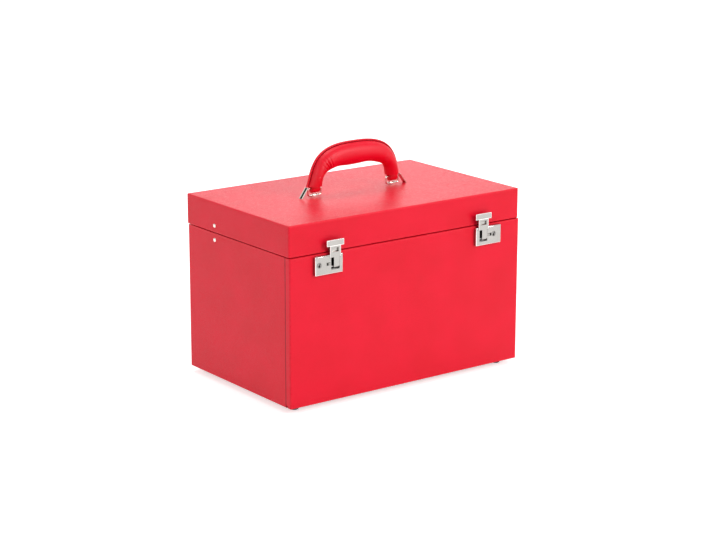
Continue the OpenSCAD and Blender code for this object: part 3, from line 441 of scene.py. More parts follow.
def metal(name, colour, dull, roughness, painted_light_mask=None, painted_light_colour=None):
    """Plated metal with a fine brushed finish and faint handling marks; an optional mask lays a second colour
    over it, which paints highlights on the locks' rims and shade on the straps.
    """
    material, tree, shader = new_material(name)
    place = object_place(tree)
    streaks = noise(tree, stretched(tree, place, BRUSH_STRETCH), STREAK_SCALE, STREAK_DETAIL)
    clouds = noise(tree, place, CLOUD_SCALE, CLOUD_DETAIL, CLOUD_ROUGHNESS)
    tint = mix_colours(tree, remap(tree, clouds, 0.0, 1.0, high=CLOUD_HIGH), colour, dull)
    # Painted light: highlights on the locks' rims, shade on the straps' middles
    if painted_light_mask is not None:
        tint = mix_colours(tree, painted_light_mask(tree, place), tint, painted_light_colour)
    tree.links.new(tint, shader.inputs["Base Color"])
    shader.inputs["Metallic"].default_value = 1.0
    both = math_node(tree, "MULTIPLY", streaks, clouds)
    wear = remap(tree, both, roughness - METAL_POLISH, roughness + METAL_DULLNESS,
                 low=WEAR_LOW, high=WEAR_HIGH)
    tree.links.new(wear, shader.inputs["Roughness"])
    bump(tree, shader, streaks, STREAK_DEPTH, STREAK_STRENGTH)
    return material


# Wood

GROWTH_STRETCH = (8.0, 90.0, 90.0)
LINE_SCALE = 2.5
LINE_DETAIL = 6.0
LINE_ROUGHNESS = 0.62
LINE_LOW = 0.35
LINE_HIGH = 0.65
WOOD_FIBRE_SCALE = 30.0
WOOD_FIBRE_DETAIL = 2.0
WOOD_ROUGHNESS = (0.5, 0.7)
WOOD_DEPTH = 0.0001
WOOD_STRENGTH = 0.4


def wood(name, colour, shade):
    """Planed board with long growth lines."""
    material, tree, shader = new_material(name)
    along = stretched(tree, object_place(tree), GROWTH_STRETCH)
    lines = noise(tree, along, LINE_SCALE, LINE_DETAIL, LINE_ROUGHNESS)
    fibre = noise(tree, along, WOOD_FIBRE_SCALE, WOOD_FIBRE_DETAIL)
    tint = mix_colours(tree, remap(tree, lines, 0.0, 1.0, low=LINE_LOW, high=LINE_HIGH), colour, shade)
    tree.links.new(tint, shader.inputs["Base Color"])
    tree.links.new(remap(tree, fibre, *WOOD_ROUGHNESS), shader.inputs["Roughness"])
    bump(tree, shader, fibre, WOOD_DEPTH, WOOD_STRENGTH)
    return material


# Mirror, zinc and rubber

def mottled(name, scale, detail, colour, shade, roughness, metallic=0.0, relief=None):
    """A surface with a faint mottle in its colour, its roughness and, where relief is given, its height."""
    material, tree, shader = new_material(name)
    mottle = noise(tree, object_place(tree), scale, detail)
    tint = mix_colours(tree, remap(tree, mottle, 0.0, 1.0), colour, shade)
    tree.links.new(tint, shader.inputs["Base Color"])
    tree.links.new(remap(tree, mottle, *roughness), shader.inputs["Roughness"])
    shader.inputs["Metallic"].default_value = metallic
    if relief is not None:
        bump(tree, shader, mottle, *relief)
    return material


# Finishes of the materials that the model names

BODY_BOX = ((-0.165, -0.1045, 0.0065), (0.165, 0.1025, 0.179))
LID_BOX = ((-0.165, -0.1027, 0.1802), (0.165, 0.1043, 0.2155))
PANEL_SEAM_Y = -0.0953
RED = (0.87, 0.0015, 0.026)
RED_SHADE = (0.81, 0.001, 0.020)
GRIP_RED = (0.86, 0.001, 0.024)
GRIP_RED_SHADE = (0.79, 0.001, 0.017)
NICKEL = (0.43, 0.41, 0.39)
DULL_NICKEL = (0.385, 0.37, 0.35)
NICKEL_ROUGHNESS = 0.2
# A lighter copy of the nickel: partly polish, partly a painted highlight on the rings, straps and rivets
POLISHED_HIGHLIGHT = (0.86, 0.82, 0.76)
POLISHED_ROUGHNESS = 0.16

body_leather = leather("body_leather", RED, RED_SHADE, box=BODY_BOX, shade_seam_y=PANEL_SEAM_Y)
lid_leather = leather("lid_leather", RED, RED_SHADE, box=LID_BOX)
handle_leather = leather("handle_leather", GRIP_RED, GRIP_RED_SHADE, roughness=0.34, gloss=0.36)
# The lip's leather is darker than the covers: painted shade of the seam between lid and body
lip_shade_leather = leather("lip_shade_leather", (0.4, 0.001, 0.009), (0.34, 0.001, 0.008), roughness=0.7, gloss=0.0)
# A dark leather that paints the shade in the handle's groove beside its sewn edge
handle_seam_shade = leather("handle_seam_shade", (0.30, 0.001, 0.008), (0.22, 0.001, 0.006), roughness=0.6)
red_thread = leather("red_thread", (0.45, 0.002, 0.012), (0.35, 0.002, 0.008), roughness=0.7)
red_suede = suede("red_suede", (0.42, 0.012, 0.022), (0.34, 0.008, 0.016))
suede_board = suede("suede_covered_board", (0.47, 0.014, 0.026), (0.39, 0.01, 0.02))
pale_wood = wood("wood", (0.62, 0.44, 0.26), (0.5, 0.33, 0.18))
nickel = metal("nickel", NICKEL, DULL_NICKEL, NICKEL_ROUGHNESS)
ring_highlight_nickel = metal("ring_highlight_nickel", POLISHED_HIGHLIGHT, (0.74, 0.7, 0.64), POLISHED_ROUGHNESS)
# A darker copy of the nickel for the key plugs, painting the shade round the keyholes
shaded_plug_nickel = metal("shaded_plug_nickel", (0.3, 0.29, 0.275), (0.22, 0.21, 0.2), 0.22)
steel = metal("steel", (0.42, 0.42, 0.42), (0.38, 0.38, 0.385), 0.3)
# Black steel that paints shade: in the locks' slots and inside the keyholes
shade_black_steel = metal("shade_black_steel", (0.035, 0.03, 0.03), (0.02, 0.018, 0.018), 0.45)
mirror = mottled("mirror", 30.0, 2.0, (0.9, 0.91, 0.92), (0.86, 0.88, 0.9), (0.015, 0.03), metallic=1.0)
matt_zinc = mottled("matt_zinc", 700.0, 3.0, (0.8, 0.79, 0.77), (0.7, 0.69, 0.67), (0.5, 0.65),
                    relief=(0.00002, 0.4))
black_rubber = mottled("foot_rubber", 900.0, 3.0, (0.015, 0.015, 0.016), (0.03, 0.03, 0.032), (0.6, 0.8),
                       relief=(0.00005, 0.5))

FINISHES = {
    "red_leather": body_leather,
    "red_suede": red_suede,
    "suede_covered_board": suede_board,
    "wood": pale_wood,
    "nickel": nickel,
    "steel": steel,
    "mirror": mirror,
    "foot_rubber": black_rubber,
}


# Painted highlights on the rims of the locks and the hasps, and painted shade along the handle's straps;
# sizes in metres

RIM_HIGHLIGHT = (0.84, 0.82, 0.8)
HEAD_H = 0.007
NECK_IN = 0.00435
NECK_H = 0.03
RIM_BACK = 0.01
RIM_ABOVE = 0.001
LOCK_RIM = (0.0006, 0.0011)
HASP_RIM = (0.0003, 0.0008)
# Painted shade along the middle of the straps' upper faces
STRAP_SHADE = (0.06, 0.05, 0.04)
STRAP_SHADE_HALF_W = 0.0014
STRAP_SHADE_FADES_TO = 0.0021
STRAP_SHADE_X = 0.0664
STRAP_SHADE_FULL_X = 0.0668
UPWARD_LOW = 0.2
UPWARD_HIGH = 0.4


def highlight_rimmed_nickel(name, boxes, rim):
    """Nickel with a painted highlight along the edges of the given boxes."""
    return metal(name + "_nickel", NICKEL, DULL_NICKEL, NICKEL_ROUGHNESS, painted_light_colour=RIM_HIGHLIGHT,
                 painted_light_mask=lambda tree, place: rim_mask(tree, place, boxes, *rim))


def lock_highlight_nickel(name):
    """The lock's case, with painted highlights on the rims round its face."""
    low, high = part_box(name)
    face = (tuple(low), (high[0], high[1] + RIM_BACK, high[2]), high[2] + RIM_ABOVE)
    return highlight_rimmed_nickel(name, [face], LOCK_RIM)


def hasp_highlight_nickel(name):
    """The hasp, with painted highlights on the rims round its head and beside its neck."""
    low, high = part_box(name)
    back = high[1] + RIM_BACK
    neck_top = high[2] - HEAD_H
    head = ((low[0], low[1], neck_top), (high[0], back, high[2]), high[2] + RIM_ABOVE)
    neck = ((low[0] + NECK_IN, low[1], neck_top - NECK_H), (high[0] - NECK_IN, back, high[2]), neck_top)
    return highlight_rimmed_nickel(name, [head, neck], HASP_RIM)


def strap_shade_mask(tree, place):
    """One along the upper face's middle of the slanted straps, where shade is painted dark."""
    parts = split(tree, place)
    side = away_from(tree, parts["Y"], MIDDLE_Y)
    middle = remap(tree, side, 1.0, 0.0, low=STRAP_SHADE_HALF_W, high=STRAP_SHADE_FADES_TO)
    across = math_node(tree, "ABSOLUTE", parts["X"])
    outer = remap(tree, across, 0.0, 1.0, low=STRAP_SHADE_X, high=STRAP_SHADE_FULL_X)
    facing = split(tree, node(tree, "ShaderNodeTexCoord").outputs["Normal"])["Z"]
    upper = remap(tree, facing, 0.0, 1.0, low=UPWARD_LOW, high=UPWARD_HIGH)
    return math_node(tree, "MULTIPLY", math_node(tree, "MULTIPLY", middle, outer), upper)


# The straps' nickel, with painted shade along the middle of their upper faces
strap_nickel = metal("strap_nickel", POLISHED_HIGHLIGHT, (0.7, 0.66, 0.6), POLISHED_ROUGHNESS, painted_light_mask=strap_shade_mask,
                     painted_light_colour=STRAP_SHADE)

OWN_FINISHES = {
    "lid_cover": lid_leather,
    "case_stay_rivets": ring_highlight_nickel,
    "lid_stay_rivets": ring_highlight_nickel,
}
for side in SIDES:
    OWN_FINISHES["handle_chape_" + side] = strap_nickel
    OWN_FINISHES["handle_ring_" + side] = ring_highlight_nickel
    OWN_FINISHES["key_plug_" + side] = shaded_plug_nickel
    OWN_FINISHES["lock_case_" + side] = lock_highlight_nickel("lock_case_" + side)
    OWN_FINISHES["hasp_" + side] = hasp_highlight_nickel("hasp_" + side)


def finish_nodes():
    """Every part kept from the model gets its own finish, or else that of its material slot."""
    for part in frame["record"]["subparts"]:
        finish = OWN_FINISHES.get(part["node"], FINISHES[part["material_slot"]])
        set_material(frame["nodes"][part["node"]], finish)


finish_nodes()


# Edges of the metal parts, which are rounded a little so that they catch the light, in metres

METAL_EDGES = {
    "lock_case_": 0.0006,
    "hasp_": 0.0005,
    "lid_catch_": 0.0002,
    "handle_chape_": 0.0002,
    "thumb_slide_": 0.00012,
}
WELD_REACH = 0.000005
FLAT_DEG = 2
SHARP_DEG = 50
EDGE_SEGMENTS = 2


def soften_edges(obj, width):
    """Merges the object's flat faces and rounds its sharp edges."""
    weld = obj.modifiers.new("weld", "WELD")
    weld.merge_threshold = WELD_REACH
    flat = obj.modifiers.new("flat", "DECIMATE")
    flat.decimate_type = "DISSOLVE"
    flat.angle_limit = math.radians(FLAT_DEG)
    edge = obj.modifiers.new("edge", "BEVEL")
    edge.width = width
    edge.segments = EDGE_SEGMENTS
    edge.limit_method = "ANGLE"
    edge.angle_limit = math.radians(SHARP_DEG)
    edge.harden_normals = True


for start, width in METAL_EDGES.items():
    for side in SIDES:
        soften_edges(frame["nodes"][start + side], width)


# The handle's padded grip: two leathers round a soft core, sewn together along the outer curve

FIN_DEPTH = 0.0024
FIN_HALF = 0.0014
GROOVE = 0.0009
GRIP_STATIONS = 240
GRIP_ROUND = 44
WAY_STEP = math.radians(0.5)

# Shares of the sewn edge's height with the shares of its half thickness there
FIN_SHAPE = ((0.12, 0.78), (0.3, 1.0), (0.75, 1.0))
FIN_ROOT_SHARE = 0.7
FIN_SHOULDER = (0.0003, 0.8)
FIN_TOP_SHARE = 0.35
FIN_INSET = 0.6

# Creases by their place along the grip from 0 to 1, their half width there and their depth in metres
CREASES = ((0.09, 0.005, 0.0008), (0.2, 0.005, 0.0012), (0.235, 0.005, 0.0022), (0.262, 0.005, 0.0028),
           (0.292, 0.005, 0.0016), (0.735, 0.005, 0.0008), (0.765, 0.005, 0.001))

# The creases fade towards the sewn edge, and reach at most this share of their depth elsewhere
CREASE_MOST = 0.55
CREASE_RISE = 1.05

# Depth of the settled filling in metres, and its place and reach along the grip from 0 to 1
SAG_DEPTH = 0.002
SAG_PLACE = 0.48
SAG_REACH = 0.07

# Angles from the step between leg and leather end, with how far the leg is drawn in there, in metres
STEP_SHAPE = ((0.0, 0.0016), (0.0012, 0.0007))
STEP_REACH = 0.003

# Leather ends round the rings' bars: shares of their half width, with shares of their shoulder
END_SHAPE = ((1.0, 1.0), (0.985, 0.45), (0.93, 0.12), (0.85, 0.0))
END_HALF_W = GRIP_END + 0.0003
END_SHOULDER = 0.0012
END_POWER = 0.9
END_ROUND = 40
WIRE_ROOM_LENGTH = 0.02

# Seam beside the sewn edge, where the groove's shade is painted dark, and stitches through the edge
SEAM_STATIONS = 600
SEAM_SIDE = (0.55, 1.12)
SEAM_BELOW = 0.0014
SEAM_ABOVE = 0.0007
STITCH_STATIONS = 2000
STITCH_LENGTH = 0.0026
STITCH_PITCH = 0.0036
STITCH_R = 0.00028
STITCH_DEPTH = 0.0011
STITCH_SINK = 0.00002
STITCH_FROM = 0.005
STITCH_SEGMENTS = (8, 6)


def signed_power(value, power):
    """The value's size raised to a power, with its sign kept."""
    return math.copysign(abs(value) ** power, value) if value else 0.0


def arch(turn):
    """Centre line of the grip in its own plane, from the left end at 0 to the right end at pi."""
    across = -HANDLE_X * signed_power(math.cos(turn), 2 / HANDLE_POWER)
    up = RING_HIGH_Z + HANDLE_RISE * signed_power(math.sin(turn), 2 / HANDLE_POWER)
    return Vector((across, up))


def arch_way(turn):
    """The centre line's direction."""
    way = arch(min(math.pi, turn + WAY_STEP)) - arch(max(0.0, turn - WAY_STEP))
    return way.normalized()


def arch_out(turn):
    """The direction outward from the arch."""
    way = arch_way(turn)
    return Vector((-way[1], way[0]))


def ease(value):
    """A smooth rise from 0 to 1."""
    held = max(0.0, min(1.0, value))
    return held * held * (3 - 2 * held)


STEP_TURN = math.asin((LEG_STEP / HANDLE_RISE) ** (HANDLE_POWER / 2))


def station(index, count):
    """Stations crowd near the ends, where the arch stands upright."""
    share = (1 - math.cos(math.pi * index / count)) / 2
    return STEP_TURN + (math.pi - 2 * STEP_TURN) * share


def rise_share(turn):
    """Height above the rings' bars as a share of the handle's rise."""
    return (arch(turn)[1] - RING_HIGH_Z) / HANDLE_RISE


def grip_size(turn):
    """Half the grip's thickness and half its width."""
    rise = rise_share(turn)
    thick = LEG_THICK + (GRIP_THICK - LEG_THICK) * ease((rise - LEG_STRAIGHT) / (LEG_SWELL - LEG_STRAIGHT))
    wide = LEG_WIDE + (GRIP_WIDE - LEG_WIDE) * ease(rise / SIDE_SWELL)
    return thick, wide


def flare(turn):
    """How far the outer side stands out further near the ends of the legs, more so in the left one."""
    most = FLARE[-1 if turn < math.pi / 2 else 1]
    return most * math.exp(-(rise_share(turn) / FLARE_RISE) ** 2)


def outer_reach(turn):
    """Distance from the centre line to the top of the sewn edge."""
    return grip_size(turn)[0] + flare(turn)


def grip_point(centre, out, away, side):
    """A point of the grip's section: away from the centre line in the arch's plane, and to the side."""
    flat = centre + out * away
    return Vector((flat[0], MIDDLE_Y + side, flat[1]))


def bell(value, middle, reach):
    """One at the middle, with soft slopes."""
    return math.exp(-((value - middle) / reach) ** 2)


def crease(turn):
    """Soft wrinkles in the bends, where the leather folds."""
    return sum(depth * bell(turn / math.pi, place, width) for place, width, depth in CREASES)


def sag(turn):
    """The filling has settled a little under the middle of the grip."""
    return SAG_DEPTH * bell(turn / math.pi, SAG_PLACE, SAG_REACH)


def grip_section(turn, inset=0.0):
    """Points round the grip, from one side of the sewn edge to the other, then over the sewn edge."""
    centre = arch(turn)
    out = arch_out(turn)
    thick, wide = grip_size(turn)
    more = flare(turn)
    half = thick + more / 2 - FIN_DEPTH / 2 - inset
    wide -= inset
    shift = (more - FIN_DEPTH) / 2
    neck = math.asin(FIN_HALF / wide)
    points = []
    for k in range(GRIP_ROUND):
        angle = math.pi / 2 + neck + (2 * math.pi - 2 * neck) * k / (GRIP_ROUND - 1)
        low = max(0.0, CREASE_RISE - math.sin(angle)) / (CREASE_RISE + 1)
        fold = crease(turn) * min(CREASE_MOST, low)
        full = half - fold + sag(turn) * max(0.0, -math.sin(angle))
        away = shift + full * math.sin(angle)
        points.append(grip_point(centre, out, away, (wide - fold) * math.cos(angle)))
    root = shift + half * math.cos(neck)
    top = thick + more - FIN_INSET * inset
    sewn = [(root - GROOVE, FIN_ROOT_SHARE)]
    sewn += [(root + height * (top - root), share) for height, share in FIN_SHAPE]
    sewn += [(top - FIN_SHOULDER[0], FIN_SHOULDER[1]), (top, FIN_TOP_SHARE)]
    for away, share in sewn:
        points.append(grip_point(centre, out, away, FIN_HALF * share))
    for away, share in reversed(sewn):
        points.append(grip_point(centre, out, away, -FIN_HALF * share))
    return points


def grip_mesh():
    """The legs end in a rounded step; below it the leather goes on as a narrower end round the ring's bar."""
    bm = bmesh.new()
    first = station(0, GRIP_STATIONS)
    last = station(GRIP_STATIONS, GRIP_STATIONS)
    rings = [grip_section(first + away, inset) for away, inset in STEP_SHAPE]
    for index in range(1, GRIP_STATIONS):
        turn = station(index, GRIP_STATIONS)
        if first + STEP_REACH < turn < last - STEP_REACH:
            rings.append(grip_section(turn))
    rings += [grip_section(last - away, inset) for away, inset in reversed(STEP_SHAPE)]
    tube_of_rings(bm, rings)
    fix_normals(bm)
    return new_object("handle_grip_leather", bm, GRIP_SMOOTH_DEG)


def leather_end(sign):
    """An oval end of leather round the ring's upper bar, with soft shoulders."""
    bm = bmesh.new()
    shape = [(-share, inset) for share, inset in END_SHAPE] + [(0.0, 0.0)] + list(reversed(END_SHAPE))
    rings = []
    for share, inset in shape:
        wide = END_WIDE - inset * END_SHOULDER
        tall = EYE_LEATHER_R - inset * END_SHOULDER
        x = sign * HANDLE_X + END_HALF_W * share
        ring = []
        for k in range(END_ROUND):
            angle = 2 * math.pi * k / END_ROUND
            y = MIDDLE_Y + wide * math.cos(angle)
            z = RING_HIGH_Z + tall * signed_power(math.sin(angle), END_POWER)
            ring.append(Vector((x, y, z)))
        rings.append(ring)
    tube_of_rings(bm, rings)
    fix_normals(bm)
    return new_object("leather_end", bm, GRIP_SMOOTH_DEG)


def wire_hole(sign):
    """Room for the ring's upper bar."""
    bm = bmesh.new()
    round_bar(bm, WIRE_ROOM_R, WIRE_ROOM_LENGTH, (0, 1, 0), (sign * HANDLE_X, MIDDLE_Y, RING_HIGH_Z))
    return new_object("wire_hole", bm)


def paint_seam_shade(obj):
    """Paints the shade in the groove beside the sewn edge with a dark leather."""
    obj.data.materials.append(handle_seam_shade)
    path = []
    for index in range(SEAM_STATIONS + 1):
        turn = station(index, SEAM_STATIONS)
        path.append((arch(turn), arch_out(turn), outer_reach(turn)))
    near, far = (share * FIN_HALF for share in SEAM_SIDE)
    for polygon in obj.data.polygons:
        middle = polygon.center
        if not near < abs(middle.y - MIDDLE_Y) < far:
            continue
        flat = Vector((middle.x, middle.z))
        centre, out, reach = min(path, key=lambda spot: (spot[0] - flat).length
                                 + abs((flat - spot[0]).cross(spot[1])))
        above_root = (flat - centre).dot(out) - (reach - FIN_DEPTH)
        if -SEAM_BELOW < above_root < SEAM_ABOVE:
            polygon.material_index = 1


def stitches_along_grip():
    """Thread on both sides of the sewn edge."""
    bm = bmesh.new()
    last = None
    run = 0.0
    after_last = STITCH_PITCH
    for index in range(STITCH_STATIONS + 1):
        turn = station(index, STITCH_STATIONS)
        place = arch(turn)
        way = arch_way(turn)
        here = place + arch_out(turn) * (outer_reach(turn) - STITCH_DEPTH)
        if last is not None:
            run += (here - last).length
        last = here
        if run < after_last or place[1] < RING_HIGH_Z + STITCH_FROM:
            continue
        after_last = run + STITCH_PITCH
        for sign in (-1, 1):
            middle = Vector((here[0], MIDDLE_Y + sign * (FIN_HALF - STITCH_SINK), here[1]))
            add_stitch(bm, middle, Vector((way[0], 0, way[1])))
    return new_object("handle_stitches", bm, ROUND_SMOOTH_DEG)


def add_stitch(bm, middle, along):
    """A short round stitch whose ends sink into the leather."""
    around, rows = STITCH_SEGMENTS
    part = bmesh.ops.create_uvsphere(bm, u_segments=around, v_segments=rows, radius=1.0)
    spin = Vector((0, 0, 1)).rotation_difference(along)
    for vert in part["verts"]:
        shaped = Vector((vert.co.x * STITCH_R, vert.co.y * STITCH_R, vert.co.z * STITCH_LENGTH / 2))
        vert.co = middle + spin @ shaped


def build_handle():
    grip = grip_mesh()
    for sign in (-1, 1):
        add_part(grip, leather_end(sign), "UNION")
    for sign in (-1, 1):
        add_part(grip, wire_hole(sign), "DIFFERENCE")
    set_material(grip, handle_leather)
    for polygon in grip.data.polygons:
        polygon.use_smooth = True
        polygon.material_index = 0
    paint_seam_shade(grip)
    grip.data.set_sharp_from_angle(angle=math.radians(GRIP_SMOOTH_DEG))
    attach(grip, "handle")
    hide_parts("handle_grip")
    thread = stitches_along_grip()
    set_material(thread, red_thread)
    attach(thread, "handle")


build_handle()


# Plates inside the locks, which show through the slots beside the hasps: black above, painting the slots'
# shade, and matt below

# Places across are measured outward from each lock's inner side, in metres
LOCK_IN = 0.096
LOCK_LOW_Z = 0.1556
LOCK_TOP_Z = 0.1775
BOSS_TOP_Z = 0.1613
PLATE_SPLIT_Z = 0.1603
PLATE_MID_U = 0.0177
PLATE_FAR_U = 0.0366
PLATE_MARGIN = 0.0012
PLATE_OVER_BOSS = 0.0001
FRONT_Y = -0.1045
PLATE_T = 0.00025
PLATE_PLAY = 0.00002
PLATE_BEVEL = 0.00005


def build_lock_plates():
    high_z = LOCK_TOP_Z - PLATE_MARGIN
    beside = (PLATE_MARGIN, PLATE_MID_U, PLATE_SPLIT_Z, high_z)
    over_boss = (PLATE_MID_U, PLATE_FAR_U, BOSS_TOP_Z + PLATE_OVER_BOSS, high_z)
    foot = (PLATE_MARGIN, PLATE_MID_U, LOCK_LOW_Z + PLATE_MARGIN, PLATE_SPLIT_Z)
    parts = (("lock_shade_plate_", shade_black_steel, (beside, over_boss)), ("lock_foot_", matt_zinc, (foot,)))
    for side, sign in SIDES.items():
        for name, finish, spans in parts:
            bm = bmesh.new()
            for near_u, far_u, low_z, top_z in spans:
                near = sign * (LOCK_IN + near_u + PLATE_PLAY)
                far = sign * (LOCK_IN + far_u - PLATE_PLAY)
                low = Vector((min(near, far), FRONT_Y - PLATE_T, low_z + PLATE_PLAY))
                high = Vector((max(near, far), FRONT_Y - PLATE_PLAY, top_z - PLATE_PLAY))
                rounded_plate(bm, low, high, PLATE_BEVEL)
            plate = new_object(name + side, bm, PLATE_SMOOTH_DEG)
            set_material(plate, finish)
            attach(plate, "front_panel")


build_lock_plates()


# Faces of the catches' noses, seen through the windows of the hasps

NOSE_HALF_W = 0.0046
NOSE_LOW_Z = 0.1803
NOSE_HIGH_Z = 0.1847
NOSE_FRONT_Y = -0.10773
NOSE_T = 0.00025
NOSE_BEVEL = 0.00006


def build_nose_faces():
    for side in SIDES:
        low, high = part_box("lid_catch_" + side)
        middle = (low[0] + high[0]) / 2
        bm = bmesh.new()
        rounded_plate(bm, Vector((middle - NOSE_HALF_W, NOSE_FRONT_Y, NOSE_LOW_Z)),
                      Vector((middle + NOSE_HALF_W, NOSE_FRONT_Y + NOSE_T, NOSE_HIGH_Z)), NOSE_BEVEL)
        face = new_object("catch_nose_face_" + side, bm, PLATE_SMOOTH_DEG)
        set_material(face, nickel)
        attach(face, "lid")


build_nose_faces()


# Black inserts just behind the plugs' faces, painting the shade inside the keyholes

KEY_W = 0.00137
KEY_H = 0.00497
KEY_EYE_R = 0.001385
KEY_EYE_DROP = 0.0011
KEY_TURN_DEG = 20.0
KEY_FACE_Y = -0.10895
KEY_DEPTH = 0.0006
PLUG_Z = 0.1675
PLUG_X = {"left": -0.1284, "right": 0.1224}


def turned_part(name, bm, x):
    """Stands the part on its slant in the middle of a plug."""
    turn = Quaternion((0, 1, 0), math.radians(KEY_TURN_DEG)).to_matrix()
    bmesh.ops.rotate(bm, verts=bm.verts, cent=(0, 0, 0), matrix=turn)
    bmesh.ops.translate(bm, verts=bm.verts, vec=(x, 0, PLUG_Z))
    return new_object(name, bm, PLATE_SMOOTH_DEG)


def build_keyhole_shades():
    for side, x in PLUG_X.items():
        bm = bmesh.new()
        low = Vector((-KEY_W / 2, KEY_FACE_Y, -KEY_H / 2))
        high = Vector((KEY_W / 2, KEY_FACE_Y + KEY_DEPTH, KEY_H / 2))
        rounded_plate(bm, low, high, PLATE_BEVEL)
        keyhole_shade = turned_part("keyhole_" + side, bm, x)
        bm = bmesh.new()
        round_bar(bm, KEY_EYE_R, KEY_DEPTH, (1, 0, 0), (0, KEY_FACE_Y + KEY_DEPTH / 2, -KEY_EYE_DROP))
        add_part(keyhole_shade, turned_part("keyhole_eye", bm, x), "UNION")
        # The black insert paints the shade inside the keyhole
        set_material(keyhole_shade, shade_black_steel)
        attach(keyhole_shade, side + "_plug")


build_keyhole_shades()


# The lid's covered lip, set back in the seam above the body's rim; its dark red is painted shade of the seam

LIP_LOW_Z = 0.17915
LIP_HIGH_Z = 0.1801
LIP_X = 0.1641
LIP_FRONT_Y = -0.1018
LIP_BACK_Y = 0.085
LIP_T = 0.0012
LIP_GAP = 0.0001
LIP_BEVEL = 0.0002


def build_lid_lip():
    bm = bmesh.new()
    inner_y = LIP_FRONT_Y + LIP_T
    side_y = LIP_FRONT_Y + LIP_T + LIP_GAP
    spans = (((-LIP_X, LIP_FRONT_Y), (LIP_X, inner_y)),
             ((-LIP_X, side_y), (-LIP_X + LIP_T, LIP_BACK_Y)),
             ((LIP_X - LIP_T, side_y), (LIP_X, LIP_BACK_Y)))
    for low, high in spans:
        rounded_plate(bm, Vector((*low, LIP_LOW_Z)), Vector((*high, LIP_HIGH_Z)), LIP_BEVEL)
    lip = new_object("lid_lip", bm)
    set_material(lip, lip_shade_leather)
    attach(lip, "lid")


build_lid_lip()


# Ring rolls: soft suede rolls side by side in the insert's front bay

ROLL_COUNT = 5
ROLL_R = 0.0072
ROLL_PITCH = 2 * ROLL_R + 0.0006
ROLL_W = 0.149
ROLL_H = 0.026
ROLL_LOW_Z = 0.131
ROLL_BAY_FRONT = -0.0865
ROLL_BAY_D = 0.081
ROLL_SLICES = 28
ROLL_ROUND = 28

# How much narrower and lower a roll's ends are, how squarely they end, and how deep its quilting is
ROLL_END_THIN = 0.28
ROLL_END_LOW = 0.1
ROLL_END_POWER = 14
ROLL_QUILT = 0.02
ROLL_QUILTS = 6
ROLL_SIDE_POWER = 0.8
ROLL_TOP_POWER = 0.62


def roll_ring(middle, share):
    """One slice of a roll, at a share of its half width."""
    pinch = (1 - abs(share) ** ROLL_END_POWER) ** 0.5 if abs(share) < 1 else 0.0
    grow = 1 - ROLL_END_THIN + ROLL_END_THIN * pinch
    quilt = 1 - ROLL_QUILT * math.cos(share * math.pi * ROLL_QUILTS)
    half_d = ROLL_R * grow * quilt
    half_h = ROLL_H / 2 * (1 - ROLL_END_LOW + ROLL_END_LOW * pinch)
    ring = []
    for k in range(ROLL_ROUND):
        angle = 2 * math.pi * k / ROLL_ROUND
        y = half_d * signed_power(math.cos(angle), ROLL_SIDE_POWER)
        z = half_h * signed_power(math.sin(angle), ROLL_TOP_POWER)
        ring.append(Vector((ROLL_W / 2 * share, middle + y, ROLL_LOW_Z + ROLL_H / 2 + z)))
    return ring


def roll_mesh():
    """All the rolls in one mesh."""
    bm = bmesh.new()
    first = ROLL_BAY_FRONT + (ROLL_BAY_D - (ROLL_COUNT - 1) * ROLL_PITCH) / 2
    for index in range(ROLL_COUNT):
        middle = first + index * ROLL_PITCH
        tube_of_rings(bm, [roll_ring(middle, -1 + 2 * cut / ROLL_SLICES) for cut in range(ROLL_SLICES + 1)])
    fix_normals(bm)
    return new_object("ring_roll_pads", bm, ROUND_SMOOTH_DEG)


def build_rolls():
    rolls = roll_mesh()
    set_material(rolls, red_suede)
    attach(rolls, "case")
    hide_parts("ring_rolls")


build_rolls()


# Camera, as the photograph was taken

PHOTO_W = 716
FOCAL_PX = 2021.8
SENSOR_MM = 36.0
NEAR_CLIP = 0.1
FAR_CLIP = 100.0
CAMERA_AT = Vector((-1.3803, -1.8531, 0.7294))
LOOK_AT = Vector((0.005503, -0.000521, 0.118645))
ROLL_DEG = 0.12


def build_camera():
    data = bpy.data.cameras.new("camera")
    data.sensor_fit = "HORIZONTAL"
    data.sensor_width = SENSOR_MM
    data.lens = FOCAL_PX * SENSOR_MM / PHOTO_W
    data.clip_start = NEAR_CLIP
    data.clip_end = FAR_CLIP
    obj = bpy.data.objects.new("camera", data)
    scene.collection.objects.link(obj)
    obj.location = CAMERA_AT
    obj.rotation_mode = "QUATERNION"
    aim = (LOOK_AT - CAMERA_AT).to_track_quat("-Z", "Y")
    obj.rotation_quaternion = aim @ Quaternion((0, 0, 1), math.radians(ROLL_DEG))
    scene.camera = obj


build_camera()


# Floor, lamps and world

WHITE = (1.0, 1.0, 1.0, 1.0)
FLOOR_GREY = (0.8, 0.8, 0.8, 1.0)
FLOOR_R = 30.0
FLOOR_SEGMENTS = 96
FLOOR_Z = -0.0002
FLOOR_GLOW = 0.62
WORLD_LIGHT = 0.55
CEILING = 0.45
CEILING_FROM = 0.35
CEILING_FULL = 0.75

# Each lamp's place, the point it shines at, its width in metres and its power in watts
LAMPS = {
    "key": ((1.1, -2.65, 1.75), (0, 0, 0.1), 1.4, 48.0),
    "fill": ((-2.6, -0.6, 1.6), (0, 0, 0.1), 1.2, 10.0),
    "top": ((0.0, 0.6, 2.4), (0, 0, 0.2), 1.2, 18.0),
    "back": ((1.74, 2.32, 0.98), (0, 0, 0.2155), 1.3, 5.0),
}


def seen_directly(tree):
    """One for rays from the camera, from gloss and through glass, and zero for the others."""
    path = node(tree, "ShaderNodeLightPath")
    first = math_node(tree, "MAXIMUM", path.outputs["Is Camera Ray"], path.outputs["Is Glossy Ray"])
    return math_node(tree, "MAXIMUM", first, path.outputs["Is Transmission Ray"])


